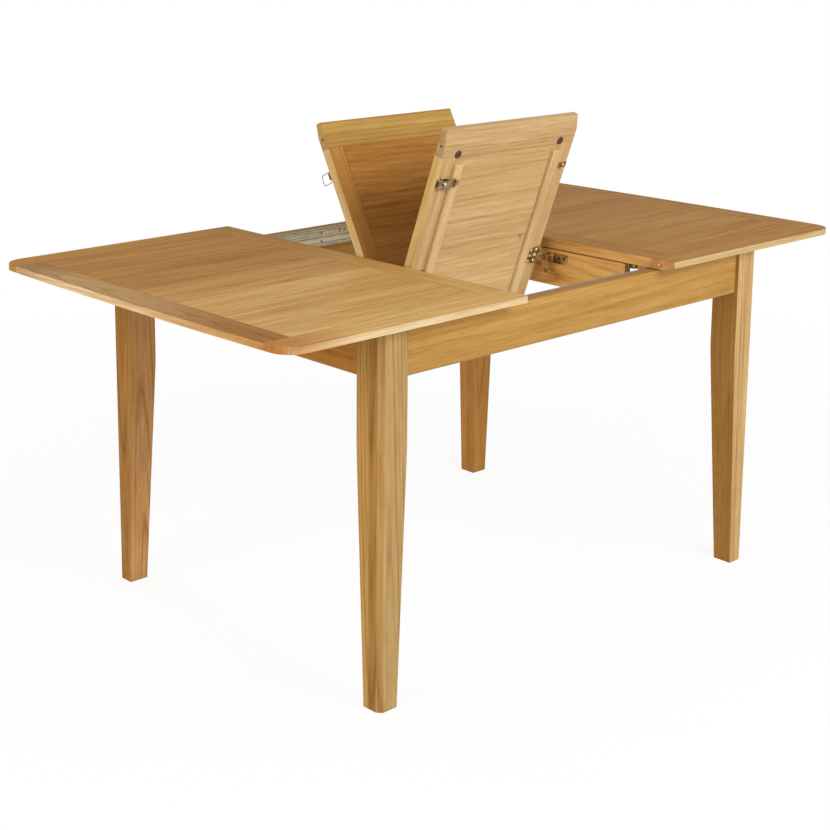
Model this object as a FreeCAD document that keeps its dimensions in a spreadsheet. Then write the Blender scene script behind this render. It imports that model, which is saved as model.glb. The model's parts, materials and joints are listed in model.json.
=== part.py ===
import FreeCAD, Part
import Sketcher
import math
import os
from FreeCAD import Placement, Rotation, Vector

# Extending dining table with a self-storing butterfly leaf.
# Frame: X along the table, Y across it, Z up, origin on the floor under the centre. Millimetres.
# The two tops stand drawn apart and the hinged leaf stands half unfolded in the gap between them.
# Every leaf piece is drawn flat, as it lies in use, and its Placement lifts it to the stored angle.

doc = FreeCAD.newDocument("ButterflyTable")
sheet = doc.addObject("Spreadsheet::Sheet", "Sizes")

SIZES = [
    ("table_height", 770, "floor to the top surface"),
    ("top_width", 951, "across the tops and the leaf"),
    ("top_thick", 22, "thickness of tops and leaf"),
    ("section_long", 603, "one top, split edge to the corner of its end"),
    ("end_bow", 9, "how far the end edge bows out"),
    ("corner_round", 45, "plan radius of the outer corners"),
    ("bevel_wide", 30, "underside bevel, inward from the edge"),
    ("bevel_high", 8, "underside bevel, height taken off the edge"),
    ("arris_round", 2, "rounding of the upper outer edge"),
    ("side_border", 62, "width of the borders along the sides"),
    ("end_border", 58, "width of the border at the outer end"),
    ("split_border", 60, "width of the border at the split edge"),
    ("rest_gap", 461, "between the split edges as drawn apart"),
    ("leaf_long", 405, "leaf, along the table"),
    ("leaf_end_border", 42, "width of the leaf's end borders"),
    ("fold_gap", 0.3, "between the two leaf halves, flat or folded"),
    ("near_rise", 70.4, "angle of the near half above flat"),
    ("far_rise", 62.5, "angle of the far half above flat"),
    ("pivot_from_fold", 130, "leaf pivot, from the fold line"),
    ("pivot_below_top", 40, "leaf pivot, below the top surface"),
    ("frame_half_long", 582, "centre to the outer face of a leg, along X"),
    ("frame_half_wide", 439, "centre to the outer face of a leg, along Y"),
    ("leg_top_size", 67, "side of the square leg under the top"),
    ("leg_foot_size", 45, "side of the leg at the floor"),
    ("taper_below_rail", 107, "start of the leg's taper, below the rails"),
    ("leg_taper_soft", 1400, "radius that eases the taper in"),
    ("leg_chamfer", 10, "flat on the outer corner of a leg"),
    ("top_clear", 2, "between the frame and the underside of the tops"),
    ("rail_deep", 94, "height of the rails"),
    ("rail_thick", 22, "thickness of the rails"),
    ("rail_setback", 8, "rail face behind the leg face"),
    ("rail_arris", 2, "chamfer along the lower edges of a rail"),
    ("tenon_long", 26, "rail tenon inside a leg"),
    ("tenon_thick", 9, "thickness of a rail tenon"),
    ("tenon_shoulder", 12, "rail height left above and below a tenon"),
    ("joint_clear", 0.2, "glue gap round a tenon"),
    ("cross_face", 231, "centre to the inward face of a cross rail"),
    ("cross_thick", 20, "thickness of the cross rails"),
    ("cross_deep", 83, "height of a cross rail"),
    ("cross_below_frame", 1, "top of a cross rail, below the top of the rails"),
    ("cross_tongue", 22, "height of the tongue at each end of a cross rail"),
    ("cross_from_latch", 4, "step of a cross rail, clear of the latch bails"),
    ("slide_deep", 9.5, "slide track, out from the rail"),
    ("slide_high", 44, "height of the double slide track"),
    ("slide_plate", 1.5, "sheet thickness of the slides"),
    ("slide_lip", 4.5, "height of each retaining lip"),
    ("slide_from_leg", 5, "slide end, short of the leg"),
    ("slide_hole", 8, "diameter of the screw holes in a slide"),
    ("slide_hole_step", 176, "spacing of the screw holes in a slide"),
    ("slide_hole_from_end", 60, "first screw hole, from the end of a slide"),
    ("slide_run", 0.3, "clearance of a runner in its track"),
    ("runner_past", 270, "runner bar, past the centre of the table"),
    ("runner_hole", 5, "diameter of the holes in a runner bar"),
    ("runner_hole_first", 58, "first of three holes in a row, from the centre of the table"),
    ("runner_hole_step", 16, "spacing of the three holes"),
    ("bearer_wide", 25, "width of a bearer under a top"),
    ("bearer_high", 26, "height of a bearer under a top"),
    ("bearer_from_split", 6, "bearer end, back from the split edge"),
    ("top_travel_out", 8, "further outward travel of a top"),
    ("block_high", 40, "height of a corner block"),
    ("block_reach", 65, "corner block along each rail, past the leg"),
    ("block_below_slide", 4, "corner block top, under the slide"),
    ("bolt_size", 8, "diameter of a leg bolt"),
    ("bolt_into_leg", 30, "depth of a leg bolt in the leg"),
    ("bolt_head", 13, "across the flats of a leg bolt head"),
    ("bolt_head_high", 5.5, "height of a leg bolt head"),
    ("batten_wide", 24, "width of a leaf batten"),
    ("batten_thick", 8, "thickness of a leaf batten"),
    ("batten_centre", 151, "centre of the leaf to a batten's centre line"),
    ("batten_from_fold", 36, "batten end, from the fold line"),
    ("batten_clear", 1, "batten end, short of the slide"),
    ("batten_arris", 2, "chamfer round a batten"),
    ("bumper_size", 18, "diameter of a leaf bumper"),
    ("bumper_from_end", 45, "centre of a bumper, in from the leaf end"),
    ("bumper_clear", 0.3, "bumper above the rail when the leaf is flat"),
    ("pin_size", 6, "diameter of a locating pin"),
    ("pin_out", 8, "locating pin, out of the split edge"),
    ("pin_in", 14, "locating pin, inside the split border"),
    ("pin_from_side", 38, "locating pin, in from the side of the top"),
    ("pin_hole_clear", 0.3, "radial clearance of a pin in the leaf"),
    ("plate_thick", 2, "thickness of the leaf pivot plate"),
    ("plate_wide", 37.5, "leaf pivot plate, along X"),
    ("plate_long", 44, "leaf pivot plate, across the table"),
    ("plate_hole", 4.4, "diameter of a screw hole in the pivot plate"),
    ("plate_inset", 1.5, "pivot plate, back from the leaf end"),
    ("eye_size", 14, "diameter of the eye of the pivot plate"),
    ("shaft_size", 6, "diameter of a leaf pivot pin"),
    ("shaft_run", 0.05, "radial clearance of a leaf pivot pin"),
    ("shaft_head", 10, "diameter of a leaf pivot pin's head"),
    ("shaft_head_thick", 2.5, "thickness of a leaf pivot pin's head"),
    ("barrel_size", 12, "diameter of the bearing barrel"),
    ("arm_gap", 2.5, "pivot arm, clear of the leaf plate"),
    ("arm_thick", 2.5, "thickness of a pivot arm"),
    ("arm_long", 34, "pivot arm, pin to its far edge"),
    ("arm_wide", 22, "pivot arm, across its far edge"),
    ("arm_lean", 20, "lean of a pivot arm from straight down"),
    ("barrel_gap", 1, "barrel end, clear of the pivot arm"),
    ("bracket_thick", 2.5, "plate thickness of the bearing bracket"),
    ("bracket_long", 62, "bearing bracket, along the cross rail"),
    ("bracket_high", 22, "bearing bracket, height"),
    ("bracket_hole", 4.6, "diameter of a screw hole in the bracket"),
    ("web_lap", 2, "web of the bracket, lapped into the barrel"),
    ("latch_from_bearer", 14.4, "centre of a latch, inward of the bearers"),
    ("latch_base_long", 32, "latch base, along X"),
    ("latch_base_wide", 19, "latch base, across the table"),
    ("latch_sheet", 1.2, "sheet thickness of a latch"),
    ("latch_pin_in", 6, "lever pin, in from the leaf end"),
    ("latch_pin_drop", 6, "lever pin, below the leaf"),
    ("latch_pin_size", 2.6, "diameter of the lever pin"),
    ("latch_run", 0.1, "radial clearance on the lever pin"),
    ("latch_ear", 3, "radius of a latch ear"),
    ("lever_long", 56, "length of a latch lever"),
    ("lever_wide", 16, "width of a latch lever"),
    ("lever_drop", 9.4, "lever plate, below the leaf"),
    ("cheek_past_bail", 1, "lever cheek, past the bail wire"),
    ("bail_in", 11, "bail root, in from the leaf end"),
    ("bail_drop", 5, "bail root, below the leaf"),
    ("bail_wire", 2, "wire diameter of a bail"),
    ("bail_long", 37, "bail, root to cross wire"),
    ("bail_wide", 24, "bail, between the centres of its legs"),
    ("bail_corner", 6, "bend radius of a bail's corners"),
    ("catch_wide", 12, "width of a latch catch"),
    ("catch_from_edge", 0.5, "latch catch plate, back from the edge"),
    ("catch_drop", 7, "lip of a latch catch, below the board"),
    ("catch_clear", 0.4, "lip of a latch catch, clear of the bail wire"),
    ("fold_plate_thick", 1.5, "thickness of a fold hinge plate"),
    ("fold_plate_long", 42, "fold hinge plate, from the fold line"),
    ("fold_plate_high", 11, "fold hinge plate, height"),
    ("fold_eye", 2.6, "radius of a fold hinge eye"),
    ("fold_pin", 1.2, "radius of a fold hinge pin"),
    ("fold_run", 0.1, "clearance round a fold hinge pin"),
    ("fold_clear", 0.4, "clearance of a fold hinge in its recess"),
]

for row, (alias, value, note) in enumerate(SIZES, start=1):
    sheet.set("A%d" % row, note)
    sheet.set("B%d" % row, str(value))
    sheet.setAlias("B%d" % row, alias)
doc.recompute()


class Size:
    """A size that carries both its value and the sheet formula that gives it."""

    def __init__(self, value, text):
        self.value = value
        self.text = text

    def __add__(self, other):
        other = as_size(other)
        return Size(self.value + other.value, "(%s + %s)" % (self.text, other.text))

    def __radd__(self, other):
        return as_size(other) + self

    def __sub__(self, other):
        other = as_size(other)
        return Size(self.value - other.value, "(%s - %s)" % (self.text, other.text))

    def __rsub__(self, other):
        return as_size(other) - self

    def __mul__(self, other):
        other = as_size(other)
        return Size(self.value * other.value, "(%s * %s)" % (self.text, other.text))

    def __rmul__(self, other):
        return as_size(other) * self

    def __truediv__(self, other):
        other = as_size(other)
        return Size(self.value / other.value, "(%s / %s)" % (self.text, other.text))

    def __neg__(self):
        return as_size(-1) * self


def as_size(thing):
    if isinstance(thing, Size):
        return thing
    return Size(float(thing), "(%r)" % float(thing))


def s(alias):
    """The named size from the sheet."""
    return Size(float(sheet.get(alias)), "Sizes.%s" % alias)


# ---- derived sizes -------------------------------------------------------------------------

half_wide = s("top_width") / 2
top_z = s("table_height")
under_z = top_z - s("top_thick")
frame_z = under_z - s("top_clear")
split_x = s("rest_gap") / 2
leaf_end_x = s("leaf_long") / 2
rail_low_z = frame_z - s("rail_deep")
taper_z = rail_low_z - s("taper_below_rail")
leg_in_x = s("frame_half_long") - s("leg_top_size")
leg_in_y = s("frame_half_wide") - s("leg_top_size")
rail_out_y = s("frame_half_wide") - s("rail_setback")
rail_in_y = rail_out_y - s("rail_thick")
rail_out_x = s("frame_half_long") - s("rail_setback")
rail_in_x = rail_out_x - s("rail_thick")
slide_in_y = rail_in_y - s("slide_deep")
slide_low_z = frame_z - s("slide_high")
slide_half_long = leg_in_x - s("slide_from_leg")
track_high = (s("slide_high") - 3 * s("slide_plate")) / 2
runner_face_y = slide_in_y - 2 * s("slide_run") - s("slide_plate")
bearer_out_y = runner_face_y
bearer_in_y = bearer_out_y - s("bearer_wide")
bearer_low_z = under_z - s("bearer_high")
bearer_near_x = split_x + s("bearer_from_split")
bearer_far_x = leg_in_x - s("slide_run") - s("top_travel_out")
pivot_y = -s("pivot_from_fold")
pivot_z = top_z - s("pivot_below_top")
fold_z = top_z + s("fold_gap") / 2
latch_y = bearer_in_y - s("latch_from_bearer")
cross_top_z = frame_z - s("cross_below_frame")
cross_low_z = cross_top_z - s("cross_deep")
cross_step_y = latch_y - s("bail_wide") / 2 - s("bail_wire") / 2 - s("cross_from_latch")


# ---- helpers -------------------------------------------------------------------------------

nodes = []
PLANES = {"XY": "XY_Plane", "XZ": "XZ_Plane", "YZ": "YZ_Plane"}


def keep(obj, label):
    """Names an object as a sub-part of the table."""
    obj.Label = label
    nodes.append(obj)
    return obj


def bind(obj, prop, value):
    obj.setExpression(prop, as_size(value).text)


def box(name, x, y, z):
    """A board between three pairs of coordinates."""
    board = doc.addObject("Part::Box", name)
    for prop, axis, pair in (("Length", "x", x), ("Width", "y", y), ("Height", "z", z)):
        low, high = as_size(pair[0]), as_size(pair[1])
        if low.value > high.value:
            low, high = high, low
        bind(board, prop, high - low)
        bind(board, "Placement.Base.%s" % axis, low)
    return board


def rod(name, axis, start, end, centre, radius):
    """A round bar along an axis; centre holds the other two coordinates in order."""
    bar = doc.addObject("Part::Cylinder", name)
    start, end = as_size(start), as_size(end)
    if start.value > end.value:
        start, end = end, start
    bind(bar, "Radius", radius)
    bind(bar, "Height", end - start)
    turn = {"X": Rotation(Vector(0, 1, 0), 90), "Y": Rotation(Vector(1, 0, 0), -90), "Z": Rotation()}
    bar.Placement = Placement(Vector(), turn[axis])
    places = {"X": (start,) + tuple(centre), "Y": (centre[0], start, centre[1]), "Z": tuple(centre) + (start,)}
    for letter, value in zip("xyz", places[axis]):
        bind(bar, "Placement.Base.%s" % letter, value)
    return bar


def fuse(name, shapes):
    if len(shapes) == 1:
        return shapes[0]
    joined = doc.addObject("Part::MultiFuse", name)
    joined.Shapes = shapes
    joined.Refine = True
    return joined


def cut(name, base, tools):
    piece = doc.addObject("Part::Cut", name)
    piece.Base = base
    piece.Tool = fuse(name + "_tool", tools)
    return piece


def common(name, base, tool):
    piece = doc.addObject("Part::Common", name)
    piece.Base = base
    piece.Tool = tool
    return piece


def group(name, shapes):
    """Several equal, separate pieces in one node."""
    pieces = doc.addObject("Part::Compound", name)
    pieces.Links = shapes
    return pieces


def new_body(name):
    return doc.addObject("PartDesign::Body", name)


def sketch_on(body, plane, name, offset=0):
    """A sketch on one of the body's own planes, moved along the plane's normal."""
    sketch = body.newObject("Sketcher::SketchObject", name)
    for feature in body.Origin.OriginFeatures:
        if feature.Role == PLANES[plane]:
            sketch.AttachmentSupport = [(feature, "")]
    sketch.MapMode = "FlatFace"
    bind(sketch, "AttachmentOffset.Base.z", offset)
    return sketch


def place_point(sketch, geometry, position, point):
    for kind, value in zip(("DistanceX", "DistanceY"), point):
        value = as_size(value)
        index = sketch.addConstraint(Sketcher.Constraint(kind, -1, 1, geometry, position, value.value))
        sketch.setExpression("Constraints[%d]" % index, value.text)


def draw_polygon(sketch, points):
    """A closed outline whose corners are all set from the sheet."""
    points = [(as_size(a), as_size(b)) for a, b in points]
    first = sketch.GeometryCount
    count = len(points)
    for i in range(count):
        a, b = points[i], points[(i + 1) % count]
        start = Vector(a[0].value, a[1].value, 0)
        sketch.addGeometry(Part.LineSegment(start, Vector(b[0].value, b[1].value, 0)), False)
    for i in range(count):
        after = first + (i + 1) % count
        sketch.addConstraint(Sketcher.Constraint("Coincident", first + i, 2, after, 1))
        place_point(sketch, first + i, 1, points[i])


def draw_circle(sketch, centre, radius):
    centre = [as_size(value) for value in centre]
    radius = as_size(radius)
    middle = Vector(centre[0].value, centre[1].value, 0)
    circle = sketch.addGeometry(Part.Circle(middle, Vector(0, 0, 1), radius.value), False)
    index = sketch.addConstraint(Sketcher.Constraint("Radius", circle, radius.value))
    sketch.setExpression("Constraints[%d]" % index, radius.text)
    place_point(sketch, circle, 3, centre)


def pad(body, sketch, name, length):
    feature = body.newObject("PartDesign::Pad", name)
    feature.Profile = sketch
    bind(feature, "Length", length)
    sketch.Visibility = False
    return feature


def pocket_through(body, sketch, name):
    """Cuts the sketch's outlines right through the body, both ways."""
    before = body.Shape.Volume
    feature = body.newObject("PartDesign::Pocket", name)
    feature.Profile = sketch
    feature.Type = "ThroughAll"
    feature.Midplane = True
    doc.recompute()
    if not body.Shape.Volume < before:
        raise RuntimeError("%s cuts nothing" % name)
    return feature


def edges_where(shape, test):
    return ["Edge%d" % (i + 1) for i, edge in enumerate(shape.Edges) if test(edge)]


def soften(body, kind, name, size, test):
    """Chamfers or fillets the edges that pass the test."""
    doc.recompute()
    tip = body.Tip
    picked = edges_where(tip.Shape, test)
    feature = body.newObject("PartDesign::" + kind, name)
    feature.Base = (tip, picked)
    bind(feature, "Radius" if kind == "Fillet" else "Size", size)
    doc.recompute()
    return feature


def along(edge, axis):
    """True for a straight edge parallel to the axis."""
    if edge.Curve.TypeId != "Part::GeomLine":
        return False
    direction = edge.Curve.Direction
    return abs(abs(direction.dot(axis)) - 1) < 1e-6


X_AXIS = Vector(1, 0, 0)
Y_AXIS = Vector(0, 1, 0)
Z_AXIS = Vector(0, 0, 1)


# ---- legs ----------------------------------------------------------------------------------

def leg_profile(sketch, side):
    """Outer face upright; inner face upright, then eased by an arc into the taper."""
    high = frame_z.value
    wide, foot = s("leg_top_size").value, s("leg_foot_size").value
    start, radius = taper_z.value, s("leg_taper_soft").value
    centre = Vector(side * (wide - radius), start, 0)
    reach = math.hypot(foot - (wide - radius), start)
    tangent_angle = math.atan2(-start, foot - (wide - radius)) + math.acos(radius / reach)
    touch_x = wide - radius + radius * math.cos(tangent_angle)
    touch = Vector(side * touch_x, start + radius * math.sin(tangent_angle), 0)
    corners = [Vector(0, 0, 0), Vector(0, high, 0), Vector(side * wide, high, 0), Vector(side * wide, start, 0)]
    lines = [sketch.addGeometry(Part.LineSegment(corners[i], corners[i + 1]), False) for i in range(3)]
    if side > 0:
        arc = Part.ArcOfCircle(Part.Circle(centre, Z_AXIS, radius), tangent_angle, 0)
        ends = ("end", "start")
    else:
        arc = Part.ArcOfCircle(Part.Circle(centre, Z_AXIS, radius), math.pi, math.pi - tangent_angle)
        ends = ("start", "end")
    bend = sketch.addGeometry(arc, False)
    taper = sketch.addGeometry(Part.LineSegment(touch, Vector(side * foot, 0, 0)), False)
    base = sketch.addGeometry(Part.LineSegment(Vector(side * foot, 0, 0), corners[0]), False)
    for a, b in ((lines[0], lines[1]), (lines[1], lines[2]), (taper, base), (base, lines[0])):
        sketch.addConstraint(Sketcher.Constraint("Coincident", a, 2, b, 1))
    vertex = {"start": 1, "end": 2}
    sketch.addConstraint(Sketcher.Constraint("Tangent", lines[2], 2, bend, vertex[ends[0]]))
    sketch.addConstraint(Sketcher.Constraint("Tangent", bend, vertex[ends[1]], taper, 1))
    index = sketch.addConstraint(Sketcher.Constraint("Radius", bend, radius))
    sketch.setExpression("Constraints[%d]" % index, s("leg_taper_soft").text)
    place_point(sketch, lines[0], 1, (as_size(0), as_size(0)))
    place_point(sketch, lines[1], 1, (as_size(0), frame_z))
    place_point(sketch, lines[2], 1, (side * s("leg_top_size"), frame_z))
    place_point(sketch, lines[2], 2, (side * s("leg_top_size"), taper_z))
    place_point(sketch, base, 1, (side * s("leg_foot_size"), as_size(0)))


def leg_solid(label, sx, sy):
    """The part that both tapered profiles share, with its mortises and its chamfered corner."""
    profiles = []
    for plane, sign, other in (("XZ", -sx, -sy), ("YZ", -sy, -sx)):
        body = new_body("Body_%s_%s" % (label, plane))
        sketch = sketch_on(body, plane, "%s_%s" % (label, plane), 0)
        leg_profile(sketch, sign)
        feature = pad(body, sketch, "%s_%s_pad" % (label, plane), s("leg_top_size"))
        if plane == "XZ":
            feature.Reversed = other > 0
        else:
            feature.Reversed = other < 0
        profiles.append(body)
    shared = common(label + "_square", profiles[0], profiles[1])
    doc.recompute()
    picked = []
    for i, edge in enumerate(shared.Shape.Edges):
        if along(edge, Z_AXIS) and edge.Vertexes[0].Point.x == 0 and edge.Vertexes[0].Point.y == 0:
            picked.append((i + 1, s("leg_chamfer").value, s("leg_chamfer").value))
    chamfered = doc.addObject("Part::Chamfer", label + "_chamfered")
    chamfered.Base = shared
    chamfered.Edges = picked
    bind(chamfered, "Placement.Base.x", sx * s("frame_half_long"))
    bind(chamfered, "Placement.Base.y", sy * s("frame_half_wide"))
    return chamfered


def tenon_middle(low, high):
    """Centre of a board's thickness."""
    return (low + high) / 2


def tenon_box(name, sx, sy, kind, clear):
    """The tenon of a rail in a leg, or its mortise when clear is the glue gap."""
    half = s("tenon_thick") / 2 + clear
    low = rail_low_z + s("tenon_shoulder") - clear
    high = frame_z - s("tenon_shoulder") + clear
    if kind == "long":
        middle = sy * tenon_middle(rail_in_y, rail_out_y)
        x = (sx * leg_in_x, sx * (leg_in_x + s("tenon_long") + clear))
        return box(name, x, (middle - half, middle + half), (low, high))
    middle = sx * tenon_middle(rail_in_x, rail_out_x)
    y = (sy * leg_in_y, sy * (leg_in_y + s("tenon_long") + clear))
    return box(name, (middle - half, middle + half), y, (low, high))


def bolt_line(sx, sy):
    """Seat of a leg bolt on its corner block, its direction into the leg's corner, its depth there."""
    corner = Vector(sx * leg_in_x.value, sy * leg_in_y.value, (block_top_z - s("block_high") / 2).value)
    face_a = Vector(sx * (leg_in_x - s("block_reach")).value, sy * rail_in_y.value, corner.z)
    face_b = Vector(sx * rail_in_x.value, sy * (leg_in_y - s("block_reach")).value, corner.z)
    run = (face_b - face_a).normalize()
    normal = run.cross(Z_AXIS)
    if normal.dot(corner - face_a) < 0:
        normal = normal * -1
    depth = normal.dot(corner - face_a)
    return corner - normal * depth, normal, depth


def leg_bolt_hole(name, sx, sy):
    seat, normal, depth = bolt_line(sx, sy)
    hole = doc.addObject("Part::Cylinder", name)
    bind(hole, "Radius", s("bolt_size") / 2 + s("joint_clear"))
    hole.Height = depth + s("bolt_into_leg").value + s("bolt_size").value
    hole.Placement = Placement(seat, Rotation(Z_AXIS, normal))
    return hole


SIDES_X = {"left": -1, "right": 1}
SIDES_Y = {"near": -1, "far": 1}
block_top_z = slide_low_z - s("block_below_slide")

for name_y, sy in SIDES_Y.items():
    for name_x, sx in SIDES_X.items():
        label = "leg_%s_%s" % (name_y, name_x)
        blank = leg_solid(label, sx, sy)
        mortises = [
            tenon_box(label + "_mortise_long", sx, sy, "long", s("joint_clear")),
            tenon_box(label + "_mortise_end", sx, sy, "end", s("joint_clear")),
            leg_bolt_hole(label + "_bolt_hole", sx, sy),
        ]
        keep(cut(label + "_cut", blank, mortises), label)


# ---- rails ---------------------------------------------------------------------------------

def rail_board(label, plane, faces, start, length):
    """A rail extruded along its length, with its lower arrises chamfered."""
    body = new_body("Body_" + label)
    sketch = sketch_on(body, plane, label + "_section", start)
    low, high = rail_low_z, frame_z
    draw_polygon(sketch, [(faces[0], low), (faces[1], low), (faces[1], high), (faces[0], high)])
    pad(body, sketch, label + "_board", length)
    axis = X_AXIS if plane == "YZ" else Y_AXIS
    floor = rail_low_z.value
    soften(body, "Chamfer", label + "_arris", s("rail_arris"),
           lambda edge: along(edge, axis) and abs(edge.BoundBox.ZMin - floor) < 0.01)
    return body


for name_y, sy in SIDES_Y.items():
    label = "long_rail_" + name_y
    board = rail_board(label + "_board", "YZ", sorted((sy * rail_in_y, sy * rail_out_y), key=lambda q: q.value),
                       -leg_in_x, 2 * leg_in_x)
    tenons = [tenon_box("%s_tenon_%s" % (label, name_x), sx, sy, "long", 0) for name_x, sx in SIDES_X.items()]
    keep(fuse(label + "_fused", [board] + tenons), label)

for name_x, sx in SIDES_X.items():
    label = "end_rail_" + name_x
    board = rail_board(label + "_board", "XZ", sorted((sx * rail_in_x, sx * rail_out_x), key=lambda q: q.value),
                       -leg_in_y, 2 * leg_in_y)
    tenons = [tenon_box("%s_tenon_%s" % (label, name_y), sx, sy, "end", 0) for name_y, sy in SIDES_Y.items()]
    keep(fuse(label + "_fused", [board] + tenons), label)

# Cross rails: boards across the frame that carry the leaf pivots, notched at both ends so that
# the slides, the bearers and the swing of the latches pass over a low tongue.
tongue_z = cross_low_z + s("cross_tongue")
for name_x, sx in SIDES_X.items():
    label = "cross_rail_" + name_x
    body = new_body("Body_" + label)
    start = sx * s("cross_face") if sx > 0 else -(s("cross_face") + s("cross_thick"))
    sketch = sketch_on(body, "YZ", label + "_outline", start)
    half = [
        (rail_in_y, cross_low_z),
        (rail_in_y, tongue_z),
        (cross_step_y, tongue_z),
        (cross_step_y, cross_top_z),
    ]
    outline = half + [(-y, z) for y, z in reversed(half)]
    draw_polygon(sketch, outline)
    pad(body, sketch, label + "_board", s("cross_thick"))
    soften(body, "Chamfer", label + "_arris", s("rail_arris"),
           lambda edge: along(edge, Y_AXIS) and edge.BoundBox.ZMin < cross_low_z.value + 0.01)
    keep(body, label)


# ---- corner blocks and leg bolts -----------------------------------------------------------

blocks = []
bolts = []
for name_y, sy in SIDES_Y.items():
    for name_x, sx in SIDES_X.items():
        tag = "%s_%s" % (name_y, name_x)
        body = new_body("Body_block_" + tag)
        sketch = sketch_on(body, "XY", "block_outline_" + tag, block_top_z - s("block_high"))
        outline = [
            (leg_in_x - s("block_reach"), rail_in_y),
            (leg_in_x, rail_in_y),
            (leg_in_x, leg_in_y),
            (rail_in_x, leg_in_y),
            (rail_in_x, leg_in_y - s("block_reach")),
        ]
        draw_polygon(sketch, [(sx * x, sy * y) for x, y in outline])
        pad(body, sketch, "block_pad_" + tag, s("block_high"))
        doc.recompute()
        seat, normal, depth = bolt_line(sx, sy)
        turn = Rotation(Z_AXIS, normal)
        hole = doc.addObject("Part::Cylinder", "bolt_hole_" + tag)
        bind(hole, "Radius", s("bolt_size") / 2 + s("joint_clear"))
        hole.Height = depth + s("bolt_head_high").value + s("bolt_size").value
        hole.Placement = Placement(seat - normal * (s("bolt_head_high").value / 2), turn)
        blocks.append(cut("block_" + tag, body, [hole]))
        shank = doc.addObject("Part::Cylinder", "bolt_shank_" + tag)
        bind(shank, "Radius", s("bolt_size") / 2)
        shank.Height = depth + s("bolt_into_leg").value
        shank.Placement = Placement(seat, turn)
        head = doc.addObject("Part::Prism", "bolt_head_" + tag)
        head.Polygon = 6
        bind(head, "Circumradius", s("bolt_head") / math.sqrt(3))
        bind(head, "Height", s("bolt_head_high"))
        head.Placement = Placement(seat - normal * s("bolt_head_high").value, turn)
        bolts.append(fuse("bolt_" + tag, [shank, head]))
keep(group("corner_blocks_group", blocks), "corner_blocks")
keep(group("leg_bolts_group", bolts), "leg_bolts")


# ---- slides --------------------------------------------------------------------------------

def track_outline(sy):
    """Section of the double track: a back plate and three flanges with retaining lips."""
    sheet_t, lip = s("slide_plate"), s("slide_lip")
    back, front = rail_in_y, slide_in_y
    outline = [(back, slide_low_z), (front, slide_low_z)]
    floor = slide_low_z + sheet_t
    for level in range(2):
        low = floor + level * (track_high + sheet_t)
        high = low + track_high
        outline += [
            (front, low + lip),
            (front + sheet_t, low + lip),
            (front + sheet_t, low),
            (back - sheet_t, low),
            (back - sheet_t, high),
            (front + sheet_t, high),
            (front + sheet_t, high - lip),
            (front, high - lip),
        ]
    outline += [(front, frame_z), (back, frame_z)]
    return [(sy * y, z) for y, z in outline]


track_mid = {
    "left": slide_low_z + 2 * s("slide_plate") + 1.5 * track_high,
    "right": slide_low_z + s("slide_plate") + 0.5 * track_high,
}

for name_y, sy in SIDES_Y.items():
    label = "slide_track_" + name_y
    body = new_body("Body_" + label)
    sketch = sketch_on(body, "YZ", label + "_section", -slide_half_long)
    draw_polygon(sketch, track_outline(sy))
    pad(body, sketch, label + "_extrusion", 2 * slide_half_long)
    doc.recompute()
    holes = sketch_on(body, "XZ", label + "_holes", 0)
    first_hole = slide_half_long - s("slide_hole_from_end")
    draw_circle(holes, (-first_hole, track_mid["left"]), s("slide_hole") / 2)
    drilled = pocket_through(body, holes, label + "_drilled")
    row = body.newObject("PartDesign::LinearPattern", label + "_hole_row")
    row.Originals = [drilled]
    for feature in body.Origin.OriginFeatures:
        if feature.Role == "X_Axis":
            row.Direction = (feature, [""])
    count = int(2 * first_hole.value // s("slide_hole_step").value) + 1
    row.Occurrences = count
    bind(row, "Length", (count - 1) * s("slide_hole_step"))
    body.Tip = row
    doc.recompute()
    keep(body, label)


def make_runner(name, sx, sy, side):
    """A runner's two pieces: a bar that fills its track across the gap, and a plate on the bearer."""
    middle = track_mid[side]
    run, sheet_t = s("slide_run"), s("slide_plate")
    bar = track_high / 2 - run
    neck = track_high / 2 - s("slide_lip") - run
    inner = rail_in_y - sheet_t - run
    shoulder = slide_in_y + sheet_t + run
    plate_out = slide_in_y - run
    plate_in = bearer_out_y
    bottom = middle - neck
    outline = [
        (shoulder, middle + neck),
        (plate_out, middle + neck),
        (plate_out, frame_z),
        (plate_in, frame_z),
        (plate_in, bottom),
        (shoulder, bottom),
    ]
    plate = new_body("Body_" + name + "_plate")
    start = bearer_near_x if sx > 0 else -bearer_far_x
    sketch = sketch_on(plate, "YZ", name + "_plate_section", start)
    draw_polygon(sketch, [(sy * y, z) for y, z in outline])
    pad(plate, sketch, name + "_plate", bearer_far_x - bearer_near_x)

    strip = new_body("Body_" + name + "_bar")
    start = -s("runner_past") if sx > 0 else -bearer_far_x
    sketch = sketch_on(strip, "YZ", name + "_bar_section", start)
    corners = [(inner, middle - bar), (inner, middle + bar), (shoulder, middle + bar), (shoulder, middle - bar)]
    draw_polygon(sketch, [(sy * y, z) for y, z in corners])
    pad(strip, sketch, name + "_bar", s("runner_past") + bearer_far_x)
    doc.recompute()
    holes = sketch_on(strip, "XZ", name + "_holes", 0)
    draw_circle(holes, (0, middle), s("runner_hole") / 2)
    for turn in range(3):
        along_x = -sx * (s("runner_hole_first") + turn * s("runner_hole_step"))
        draw_circle(holes, (along_x, middle), s("runner_hole") / 2)
    pocket_through(strip, holes, name + "_drilled")
    return [plate, strip]


# ---- tops ----------------------------------------------------------------------------------

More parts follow.
